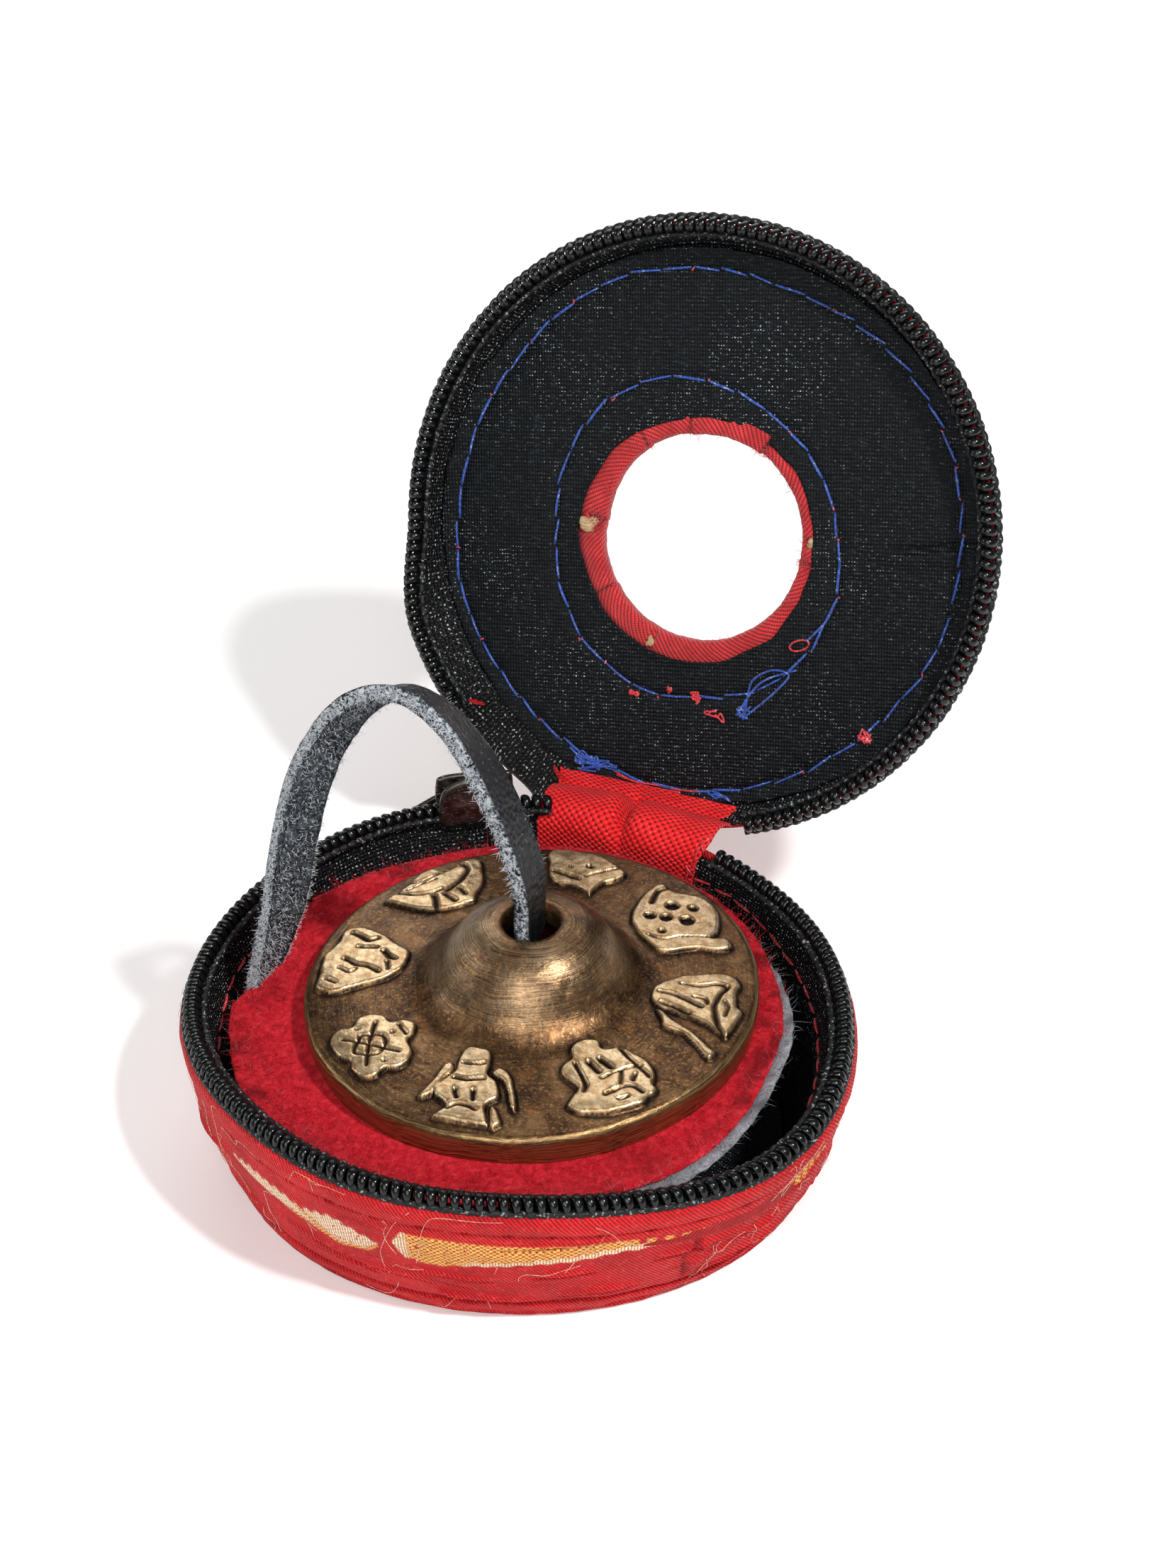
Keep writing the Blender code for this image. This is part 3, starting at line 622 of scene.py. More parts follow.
def suede_material():
    """The flesh side of the leather: dark grey with pale torn fibres, paler at the cut edges."""
    s = Shade("suede")
    at = s.place()
    nap = s.noise(at, 520, 6, 0.75, 0.9)
    fine = s.noise(at, 1900, 4, 0.7)
    col = s.ramp(nap, (0.36, (0.003, 0.004, 0.006)), (0.48, (0.013, 0.017, 0.023)), (0.58, (0.045, 0.056, 0.070)), (0.70, (0.19, 0.215, 0.245)))
    col = s.mix(s.math("MULTIPLY", s.span(fine, 0.57, 0.68), 0.6), col, (0.34, 0.375, 0.41))
    col = s.mix(s.math("MULTIPLY", s.attr("pale"), s.span(fine, 0.42, 0.62)), col, (0.56, 0.60, 0.63))
    n = s.bump(fine, 0.26, 1.0)
    n = s.bump(nap, 0.6, 0.9, n)
    s.b.inputs["Specular IOR Level"].default_value = 0.1
    return s.set(color=col, rough=s.span(nap, 0.3, 0.7, 0.95, 0.85), normal=n)


def fuzz_material():
    s = Shade("fuzz_grey")
    at = s.place()
    col = s.mix(s.noise(at, 900, 3, 0.6), (0.30, 0.32, 0.35), (0.85, 0.87, 0.90))
    return s.set(color=col, rough=s.span(s.noise(at, 400, 2, 0.5), 0.3, 0.7, 0.8, 0.95))


def metal_material():
    s = Shade("gunmetal")
    at = s.place()
    stain = s.noise(at, 380, 5, 0.65)
    col = s.ramp(stain, (0.30, (0.030, 0.026, 0.024)), (0.55, (0.085, 0.072, 0.064)), (0.78, (0.20, 0.175, 0.155)))
    scratch = s.span(s.noise(s.stretch(at, (0.25, 1, 2.5), (0.3, 0.2, 0.7)), 1900, 3, 0.6), 0.60, 0.68)
    col = s.mix(s.math("MULTIPLY", scratch, 0.6), col, (0.42, 0.40, 0.38))
    col = s.mix(s.attr("edge"), col, (0.36, 0.34, 0.32))
    n = s.bump(stain, 0.1, 0.6)
    n = s.bump(scratch, 0.04, 0.7, n)
    s.b.inputs["Metallic"].default_value = 0.9
    return s.set(color=col, rough=s.span(stain, 0.3, 0.7, 0.30, 0.50), normal=n)


def board_material():
    s = Shade("board")
    at = s.place()
    pulp = s.noise(s.stretch(at, (1, 1, 6)), 500, 5, 0.65)
    col = s.ramp(pulp, (0.32, (0.26, 0.16, 0.075)), (0.52, (0.44, 0.30, 0.155)), (0.72, (0.60, 0.45, 0.27)))
    return s.set(color=col, rough=s.span(pulp, 0.3, 0.7, 0.9, 0.75), normal=s.bump(pulp, 0.2, 0.8))


def twill_material():
    s = Shade("twill_red")
    uv, at = s.uv(), s.place()
    weave = twill(s, uv, 0.6, math.radians(40), 1)
    red = s.ramp(s.noise(at, 240, 4, 0.6), (0.3, (0.40, 0.012, 0.016)), (0.7, (0.70, 0.040, 0.042)))
    col = s.mix(s.span(weave, 0.1, 0.6), (0.17, 0.005, 0.008), red)
    # shade: dark joints where the strips meet, and painted shade under the lining's edge.
    col = s.mix(s.attr("shade"), col, (0.045, 0.001, 0.003))
    n = s.bump(weave, 0.18, 1.0)
    n = s.bump(s.noise(at, 600, 4, 0.6), 0.25, 0.6, n)
    s.b.inputs["Sheen Weight"].default_value = 0.2
    s.b.inputs["Specular IOR Level"].default_value = 0.25
    return s.set(color=col, rough=s.span(weave, 0, 1, 0.85, 0.65), normal=n)


def ribbon_material():
    """Coarse red plain weave; the yarns cross over and under in turn."""
    s = Shade("ribbon_red")
    uv, at = s.uv(), s.place()
    over = s.math("MULTIPLY", s.wave(uv, 1.25, "X", 0.5), s.wave(uv, 0.95, "Y", 0.4))
    under = s.math("MULTIPLY", s.math("SUBTRACT", 1.0, s.wave(uv, 1.25, "X", 0.5)), s.math("SUBTRACT", 1.0, s.wave(uv, 0.95, "Y", 0.4)))
    weave = s.math("MAXIMUM", over, under)
    red = s.ramp(s.noise(at, 200, 4, 0.6), (0.3, (0.72, 0.010, 0.013)), (0.7, (0.92, 0.026, 0.028)))
    col = s.mix(s.span(weave, 0.10, 0.42), (0.20, 0.003, 0.005), red)
    # Painted shine: paler red on the crests of the yarns.
    shine = s.span(s.noise(uv, 2.1, 2, 0.5), 0.60, 0.72)
    col = s.mix(s.math("MULTIPLY", shine, s.span(weave, 0.4, 0.8)), col, (0.92, 0.13, 0.12))
    n = s.bump(weave, 0.24, 1.0)
    s.b.inputs["Specular IOR Level"].default_value = 0.15
    s.b.inputs["Sheen Weight"].default_value = 0.03
    return s.set(color=col, rough=s.span(weave, 0, 1, 0.75, 0.45), normal=n)


BRONZE = bronze_material()
BROCADE = brocade_material()
LINING = lining_material()
TAPE = tape_material()
CORD = cord_material()
COIL = coil_material()
RED_THREAD = thread_material("thread_red", (0.30, 0.006, 0.012), (0.72, 0.020, 0.035))
BLUE_THREAD = thread_material("thread_blue", (0.003, 0.018, 0.14), (0.010, 0.085, 0.46))
FELT_RED = felt_material("felt_red", (0.215, 0.003, 0.008), (0.470, 0.008, 0.018), (0.720, 0.040, 0.052))
FELT_GREY = felt_material("felt_grey", (0.110, 0.110, 0.122), (0.235, 0.235, 0.255), (0.430, 0.430, 0.460))
HAIR = thread_material("loose_hair", (0.42, 0.20, 0.12), (0.85, 0.62, 0.45))
LEATHER = leather_material()
SUEDE = suede_material()
FUZZ = fuzz_material()
METAL = metal_material()
BOARD = board_material()
TWILL = twill_material()
RIBBON = ribbon_material()


def place(obj, body, slot, *nodes):
    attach(obj, body)
    if nodes:
        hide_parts(*nodes)
    return obj


# ---------------------------------------------------------------- camera
tilt, swing = math.radians(34.5), math.radians(24)
cam = bpy.data.objects.new("camera", bpy.data.cameras.new("camera"))
cam.data.lens = 73.24
cam.data.sensor_width = 36
cam.data.clip_start = 0.01
cam.location = (0.15756, -0.3288, 0.31337)
cam.rotation_euler = (math.pi / 2 - tilt, 0, swing)
bpy.context.scene.collection.objects.link(cam)
bpy.context.scene.camera = cam

# ---------------------------------------------------------------- strap
boss_top = in_stack((0, 0, UPPER_Z + 17.2))
BOSS_SHIFT = np.array([0.62, 0.28, 0.0])


def beside(reach, rise):
    p = boss_top + SIDE * reach
    return np.array([p[0], p[1], ZT + rise])


loop_points = [in_stack((0, 0, UPPER_Z + 12.6)) + 0.7 * BOSS_SHIFT, in_stack((0, 0, UPPER_Z + 14.9)) + BOSS_SHIFT, boss_top + BOSS_SHIFT,
               beside(0.2, 22.0) + 0.6 * BOSS_SHIFT, beside(4.8, 35.8), beside(10.9, 45.4), beside(17.8, 48.9), beside(24.8, 45.0), beside(31.0, 34.2),
               beside(34.6, 21.0), beside(37.0, 8.5), beside(39.4, 0.0), beside(40.9, -5.0), beside(41.4, -10.0), beside(41.0, -15.0)]
loop_twist = [-4, -5, -6, -8, -2, 14, 30, 38, 42, 40, 32, 20, 10, 4, 0]
ACROSS = np.array([-SIDE[1], SIDE[0], 0.0])


def strap(name, points, twist, across, seed, per=10, width=6.9, thick=1.7):
    """A flat leather strap with a rough cut edge: skin outside, suede inside. Returns the piece, its path and its fuzz roots."""
    path = curve(points, per)
    tw = np.radians(np.interp(np.linspace(0, 1, len(path)), np.linspace(0, 1, len(twist)), twist))
    t = unit(np.gradient(path, axis=0))
    a = np.broadcast_to(np.asarray(across, float), path.shape)
    a = unit(a - (a * t).sum(-1, keepdims=True) * t)
    nrm = np.cross(t, a)
    wide = a * np.cos(tw)[:, None] + np.cross(t, a) * np.sin(tw)[:, None]
    out = nrm * np.cos(tw)[:, None] + np.cross(t, nrm) * np.sin(tw)[:, None]
    run = np.concatenate([[0], np.cumsum(np.linalg.norm(np.diff(path, axis=0), axis=1))])
    hw, ht = width / 2, thick / 2
    sec = []
    for k in np.linspace(-1, 1, 13):
        sec.append((k * (hw - 0.18), ht, 0))
    flare = 0.55 * thick / 1.7
    for k in (0.6, 0.0, -0.9):
        sec.append((hw, k * ht, 1))
    for k in np.linspace(1, -1, 13):
        sec.append((k * (hw - 0.1), -ht - flare * abs(k) ** 5, 1))
    for k in (-0.9, 0.0, 0.6):
        sec.append((-hw, k * ht, 1))
    sec = np.array(sec)
    ns = len(sec)
    x = np.broadcast_to(sec[:, 0], (len(path), ns)).copy()
    y = np.broadcast_to(sec[:, 1], (len(path), ns)).copy()
    s = np.broadcast_to(run[:, None], x.shape)
    edge = np.abs(x) / hw
    x = x + np.sign(x) * edge**4 * (0.22 * noise2(s, np.sign(x) * 9, 1.3, seed, 3) + 0.15 * noise2(s, np.sign(x) * 5, 6, seed + 1))
    y = y + np.where(sec[None, :, 2] > 0, 0.17, 0.08) * noise2(s, x, 1.1, seed + 2, 3) + 0.14 * (x / hw) ** 2 + 0.12 * noise2(s, x, 7, seed + 3)
    v = path[:, None] + wide[:, None] * x[..., None] + out[:, None] * y[..., None]
    v = np.concatenate([v.reshape(-1, 3), path[:1], path[-1:]])
    n = len(path)
    q = grid(n, ns, wrap_cols=True)
    k = np.arange(ns)
    t1 = np.stack([np.full(ns, n * ns), (k + 1) % ns, k], -1)
    t2 = np.stack([np.full(ns, n * ns + 1), (n - 1) * ns + k, (n - 1) * ns + (k + 1) % ns], -1)
    face_col = np.tile(np.arange(ns), n - 1)
    index = np.concatenate([np.where(face_col < 12, 0, 1), np.ones(2 * ns)])
    pale = np.concatenate([np.tile(np.where(np.abs(sec[:, 0]) > hw - 0.1, 1.0, 0.12), n), [0.5, 0.5]])
    obj = make(name, v, q, np.concatenate([t1, t2]), (LEATHER, SUEDE), attrs={"pale": pale}, mat_index=index)
    return obj, path, (path, wide, out, hw, ht)


loop, loop_path, frame_of = strap("strap_loop_leather", loop_points, loop_twist, ACROSS, 11)
place(loop, "upper_cymbal", "leather_black", "strap_loop")
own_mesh(loop)


def strap_fuzz(name, frame_, seed, count, span):
    g = np.random.default_rng(seed)
    path, wide, out, hw, ht = frame_
    n = len(path)
    at = g.uniform(span[0] * (n - 1), span[1] * (n - 1), count)
    i = at.astype(int)
    f = (at - i)[:, None]
    j = np.minimum(i + 1, n - 1)
    p = path[i] * (1 - f) + path[j] * f
    w, o = unit(wide[i] * (1 - f) + wide[j] * f), unit(out[i] * (1 - f) + out[j] * f)
    kind = g.uniform(size=count)
    sgn = np.where(g.uniform(size=count) < 0.5, -1.0, 1.0)
    on_edge = kind < 0.62
    x = np.where(on_edge, sgn * (hw - 0.05), g.uniform(-hw, hw, count))
    y = np.where(on_edge, g.uniform(-1.5 * ht, 0.6 * ht, count), -ht + 0.05)
    root = p + w * x[:, None] + o * y[:, None]
    d = np.where(on_edge[:, None], w * sgn[:, None], -o) + 0.75 * g.normal(size=(count, 3))
    length = np.where(on_edge, g.uniform(0.3, 1.25, count), g.uniform(0.25, 0.8, count))
    v, q, t = fibres(root, d, length, 0.045, seed + 1, 0.7)
    obj = make(name, v, q, t, (FUZZ,), outward=False)
    return obj


loop_fuzz = strap_fuzz("strap_loop_fuzz", frame_of, 5, 9000, (0.2, 0.95))
place(loop_fuzz, "upper_cymbal", "leather_black")
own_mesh(loop_fuzz)

lower_boss = in_stack((0, 0, LOWER_Z - 17.0))
tail_points = [beside(41.3, -15.9), beside(40.2, -18.6), beside(37.5, -21.4), beside(33.0, -23.4), beside(26, -23.6), beside(18, -23.6), beside(10, -23.5), beside(5.0, -22.9)]


# ---------------------------------------------------------------- cymbals
OUTER = [(3.9, 15.7), (4.1, 16.15), (4.6, 16.42), (5.6, 16.4), (8, 15.6), (10.2, 13.9), (11.9, 11.6), (13.4, 9), (15.4, 7), (18, 6), (23, 5.4), (28, 5), (31.3, 4.68), (31.9, 4.55), (32.3, 4.2), (32.5, 3.6), (32.45, 2.2), (32.3, 0.9), (32.1, -0.1)]
INNER = [(31.7, -0.35), (30.4, -0.1), (28.5, 1.3), (23, 2.2), (17.5, 2.8), (14.2, 3.8), (12.3, 6.2), (10.8, 8.9), (8.9, 11.2), (6.6, 12.6), (4.6, 13.1), (4.0, 13.3), (3.85, 13.8), (3.85, 15.0)]

# Eight cast motifs on the flange: name, angle, radius, then outlines, grooves with their width, and pits,
# each in a frame with the first number along the rim and the second outwards.
MOTIFS = [
    ("vase", 275.9, 25.1,
     [[(-3.8, -4.9), (-3.8, -6.8), (-3.3, -7.8), (-1.9, -8.2), (-0.3, -8.1), (0.5, -7.3), (0.9, -5.5), (1.2, -3.9), (2.7, -3), (3.6, -1.5), (3.9, -0.1), (3, 1.3), (2.8, 2.2), (3.6, 3.8), (4.1, 5.2), (1.4, 5.5), (-1, 5.5), (-3.4, 5.6), (-3.9, 5.4), (-3.3, 4.2), (-2.7, 2.9), (-3.7, 2.2), (-4.9, 1.5), (-5.3, 0.1), (-4.3, -2.2), (-3.6, -3.5)],
      [(1.5, -4.3), (2.3, -5.6), (4, -4.7), (5.4, -2.6), (6.6, -0.1), (6.9, 1.5), (6, 1.3), (5.1, -0.5), (3.7, -2.9), (2.4, -3.6)],
      [(-4.4, -5), (-5.4, -4.4), (-5.7, -3.1), (-6.3, -0.2), (-6.9, 1.7), (-6.9, 2.5), (-5.6, 2), (-4.9, 0.6), (-4.4, -1.7), (-3.7, -3.5)],
      [(3.9, 3.8), (3.4, 2.2), (3.8, 1.5), (5.1, 2.9), (5.9, 4.3), (5.3, 5.1), (4.7, 5.5)]],
     [([(-2.9, -5), (-1.4, -4.9), (0.2, -5.6)], 0.30), ([(-3.2, -2.1), (-1.2, -2), (0.9, -2.8)], 0.53), ([(-2.3, 0.1), (-1.6, 1.5)], 0.47),
      ([(0.3, -0.3), (0.8, 1.4)], 0.47), ([(-2.2, 3.5), (-1.1, 2.7), (0.3, 2.5), (1.6, 3)], 0.53)], []),
    ("shell", 319.8, 24.8,
     [[(-2, -7.6), (-0.9, -8.2), (0.9, -8.1), (2.3, -7.2), (2.1, -5.9), (3.1, -5.4), (4.5, -5), (5.5, -3.3), (6.4, -1.8), (6.8, -0.1), (6.5, 1.7), (5.4, 3.3), (5.5, 4.3), (4.8, 5), (3.4, 5.5), (2.7, 6), (1.1, 6), (-0.9, 5.7), (-2.6, 5.5), (-4, 4.8), (-5.6, 4), (-6.7, 2.8), (-7, 1.6), (-6, 0.7), (-4.4, -0.5), (-4.6, -1.9), (-5.1, -3.5), (-4.8, -5), (-3.7, -5.7), (-2.6, -6.1)]],
     [([(-2.6, -4.8), (-2.8, -2.7), (-3, -0.6), (-3.8, 0.5)], 0.47), ([(-0.8, -3.9), (-0.4, -1.9)], 0.83), ([(0.8, -3.9), (1.5, -1.8)], 0.83),
      ([(4.2, -4.5), (4.7, -1.7), (5.4, 2)], 0.47), ([(-0.6, -0.5), (2.7, -0.8), (5.4, -0.4)], 0.30), ([(-1.5, 2.5), (0.6, 2.1), (2.2, 2.5), (3.2, 4.2)], 0.53),
      ([(3.9, 0.8), (3, 1.8)], 0.41), ([(-0.3, 4), (1.1, 4.2)], 0.30), ([(2.6, -0.9), (1.3, 1.5)], 0.24)], []),
    ("fish", 2.9, 25.8,
     [[(1.1, -8), (3.1, -8.1), (5.2, -6.9), (7.1, -5.1), (8.2, -3.1), (9.5, -0.7), (9.7, 1.4), (8.9, 2.6), (7.9, 3), (6.1, 3), (3.7, 4), (3.2, 4.9), (1.8, 5.1), (-0.2, 4.9), (-2.8, 4.7), (-3.2, 4.1), (-2.4, 3), (-1.5, 1.1), (-1, -0.8), (-0.8, -2.8), (-0.6, -4.8), (-0.5, -6.3), (0, -7.4)],
      [(-1, -6.6), (-1.2, -5.3), (-2.5, -2.9), (-3.5, -0.2), (-4.8, 1.9), (-6, 3.9), (-6.5, 4.3), (-7.6, 4), (-7.6, 3.1), (-6.2, 1.4), (-4.6, -1), (-4.3, -3.5), (-4, -4.5), (-2.6, -5.3)]],
     [([(5.1, -4.7), (5.7, -2.2), (6.9, -0.3), (6.9, 1.4)], 0.60), ([(2.3, -7), (2.4, -4.7), (1.8, -2), (1.4, -0.5)], 0.51), ([(0.3, -6), (0, -3.8), (-0.3, -1.8)], 0.51),
      ([(7, 1.5), (3.7, 1), (1.3, 1.4), (-1.1, 2.7), (-3.2, 4.4)], 0.51), ([(3.1, -2.3), (3.2, -0.6), (2.3, 0)], 0.28), ([(4, 2.1), (2.7, 3), (0.9, 3.1)], 0.28)], []),
    ("wheel", 51.4, 24.8,
     [[(4.5, -6.2), (6.5, -4.6), (8.9, -1.8), (10, 0.6), (9.8, 2.2), (7.5, 2.5), (5.8, 4.1), (4, 5.8), (1.2, 6.1), (-1.8, 5), (-4, 3.5), (-4.9, 1.9), (-5.8, 3.8), (-7.5, 3.8), (-8.2, 2.8), (-7.6, 1), (-6.3, -0.7), (-5.5, -2.9), (-5, -5.3), (-3.6, -6.6), (-1.4, -7), (0.8, -7.1), (2.9, -6.8)]],
     [([(8.4, 2.5), (8.2, 0.3), (6.2, -1.9)], 0.60), ([(-0.5, -6), (-2.3, -4.8), (-3.1, -1.6), (-4.6, 1.4)], 0.28)],
     [(4, 0.4, 1.15), (1.9, -1.8, 1.01), (-0.1, 0.6, 1.20), (2.1, 2.8, 0.83), (3.3, -3.7, 0.92), (-0.7, -3.9, 0.60)]),
    ("parasol", 96.9, 26.8,
     [[(6.6, 1.6), (6.2, 3.4), (4.2, 3.9), (1.4, 3.9), (-1.1, 3.6), (-3.4, 2.3), (-5.8, 0.7), (-6.3, -0.3), (-5.3, -1.9), (-3.7, -3.3), (-3, -5.9), (-2.7, -6.9), (-1.5, -5.8), (0.7, -5.1), (2.9, -5.3), (4.9, -3), (5.8, 0.2)]],
     [([(4.4, -2.2), (1.4, -3.2), (0, -3.6)], 0.60), ([(-0.8, -2.6), (-2.9, -0.5), (-4.7, 0.9)], 0.37)],
     [(-0.6, 0, 0.62), (2.1, -0.7, 0.40)]),
    ("lotus", 146.4, 27.0,
     [[(7.6, 1.3), (6.4, 1.7), (4.9, 1.9), (2.7, 2.8), (0.6, 3.8), (-1.6, 3.9), (-2.6, 2.6), (-5.2, 2.6), (-7.4, 2.6), (-8.5, 1.8), (-8.6, 0.8), (-7.2, -2), (-5.7, -4.5), (-3.7, -6.1), (-2.6, -7.4), (-1.1, -7.3), (1.3, -6.8), (3.3, -5.7), (5, -4), (6.5, -1.9), (7.5, 0), (8, 0.8)]],
     [([(3, 2.5), (1.1, 1.7), (-1.7, 1.8), (-4.6, 2)], 0.40), ([(4, 1.1), (1.3, 0.9), (-0.6, 0.7)], 0.36), ([(5.5, 1.5), (4.3, -0.3), (1.9, -1.8), (0, -2.1)], 0.49),
      ([(-5.9, 1.7), (-5.6, -0.1), (-3.1, -2), (-0.4, -2.9)], 0.67), ([(1.7, -2.8), (2.8, -5.5)], 0.63), ([(0.2, -3.5), (-0.1, -5.7)], 0.72), ([(-2.3, -3.4), (-2.2, -5.4)], 0.54)], []),
    ("conch", 190.7, 25.3,
     [[(6.5, 4.8), (4.4, 5), (2.3, 5.4), (-0.2, 5.6), (-1.7, 5), (-3.6, 4.4), (-5.8, 4.4), (-7, 3.2), (-7.2, 1.5), (-6.6, -0.5), (-5.6, -2.5), (-4.2, -4.1), (-3.5, -5.2), (-2.4, -6.8), (-0.6, -7.2), (1.6, -6.9), (2.6, -6.3), (4.1, -4.8), (5.2, -2.8), (6.4, -0.8), (7.6, 1.5), (7.6, 3.4)]],
     [([(-5.6, 2.7), (-4.8, 1.2), (-4.1, -0.1), (-4.7, -1.3)], 0.76), ([(-2.3, 1), (-2.4, -2)], 0.40), ([(0.4, 2.2), (1.6, 0.1), (1.8, -1.6), (2.9, -3.6)], 0.54),
      ([(2.5, 2.3), (3.4, 0.7), (2.7, -0.2)], 0.31), ([(-1.9, -3.1), (-0.5, -4.3), (-0.1, -5.3)], 0.58), ([(5, 3.5), (5.7, 2)], 0.40), ([(0.6, -4.3), (2.1, -4.9)], 0.40)], []),
    ("knot", 235.0, 25.2,
     [[(0, -6.6), (1.6, -5.6), (2.4, -4.2), (4.3, -3.8), (5.9, -2.4), (6.2, -0.4), (5.2, 1.1), (5.8, 2.8), (4.8, 4.6), (2.6, 5.1), (1, 4.4), (-0.6, 5.2), (-3, 5.3), (-5, 4.4), (-5.8, 2.6), (-5, 1), (-6.2, -0.6), (-5.8, -2.6), (-4.2, -3.9), (-2.4, -4.2), (-1.6, -5.7)]],
     [([(-3.6, -2.2), (-0.2, 0.6), (3.4, 3)], 0.42), ([(3.8, -2), (0.2, 0.6), (-3.4, 3.2)], 0.42), ([(-2.4, 0.8), (0, -1.8), (2.4, 0.6), (0, 3), (-2.3, 0.9)], 0.40), ([(-1.2, -4.6), (1.2, -4.5)], 0.36)],
     [(0, -3.1, 0.40), (-4, 0.6, 0.36), (4, 0.6, 0.36)]),
]


def to_segments(p, line, closed):
    """Each point's distance to a polyline, and whether it is inside it."""
    a = line
    b = np.roll(line, -1, 0) if closed else line[1:]
    a = a if closed else line[:-1]
    d = b - a
    w = p[:, None] - a[None]
    t = np.clip((w * d[None]).sum(-1) / np.maximum((d * d).sum(-1), 1e-9), 0, 1)
    dist = np.linalg.norm(w - t[..., None] * d[None], axis=-1).min(1)
    if not closed:
        return dist, None
    y, x = p[:, 1:2], p[:, 0:1]
    cross = ((a[None, :, 1] > y) != (b[None, :, 1] > y)) & (x < (b - a)[None, :, 0] * (y - a[None, :, 1]) / np.where(np.abs((b - a)[None, :, 1]) < 1e-9, 1e-9, (b - a)[None, :, 1]) + a[None, :, 0])
    return dist, cross.sum(1) % 2 == 1


def reliefs(x, y):
    """Height, polished top and dark recess of the cast motifs, at places on the cymbal's plan."""
    h, top, pit = np.zeros(len(x)), np.zeros(len(x)), np.zeros(len(x))
    for _, deg, rad, outlines, grooves, pits in MOTIFS:
        a = math.radians(deg)
        er, et = np.array([math.cos(a), math.sin(a)]), np.array([-math.sin(a), math.cos(a)])
        d = np.stack([x, y], -1) - er * rad
        p = np.stack([d @ et, d @ er], -1)
        near = np.flatnonzero((np.abs(p) < 13).all(1))
        q = p[near]
        q = q + 0.16 * np.stack([noise2(q[:, 0], q[:, 1], 1.3, 60, 2), noise2(q[:, 0], q[:, 1], 1.3, 61, 2)], -1)
        inside = np.full(len(near), -9.0)
        for outline in outlines:
            dist, within = to_segments(q, curve(np.array(outline), 4, True), True)
            inside = np.maximum(inside, np.where(within, dist, -dist))
        up = smooth(inside, -0.18, 0.42)
        height = up * (0.85 + 0.16 * smooth(inside, 0.3, 2.4) + 0.09 * noise2(q[:, 0], q[:, 1], 1.9, 62, 3))
        dark = 0.95 * np.exp(-((np.maximum(-inside, 0) / 0.55) ** 2)) * (inside < 0.12) * (0.55 + 0.45 * smooth(noise2(q[:, 0], q[:, 1], 2.2, 63, 2), -0.5, 0.2))
        cut = np.zeros(len(near))
        for line, width in grooves:
            dist, _ = to_segments(q, curve(np.array(line), 5) if len(line) > 2 else np.array(line), False)
            cut = np.maximum(cut, np.exp(-((dist / (0.42 * width + 0.06)) ** 2)))
        for px, py, pr in pits:
            dist = np.hypot(q[:, 0] - px, q[:, 1] - py)
            cut = np.maximum(cut, 1.2 * smooth(dist, pr * 1.08, pr * 0.62))
        height = height - 0.62 * np.minimum(cut, 1.0) * up
        bright = smooth(inside, 0.10, 0.42) * (1 - np.clip(1.3 * cut, 0, 1))
        dark = np.maximum(dark, up * np.clip(1.25 * cut - 0.18, 0, 1))
        h[near] = np.maximum(h[near], height)
        top[near] = np.maximum(top[near], bright)
        pit[near] = np.maximum(pit[near], dark)
    return h, top * (1 - pit), pit


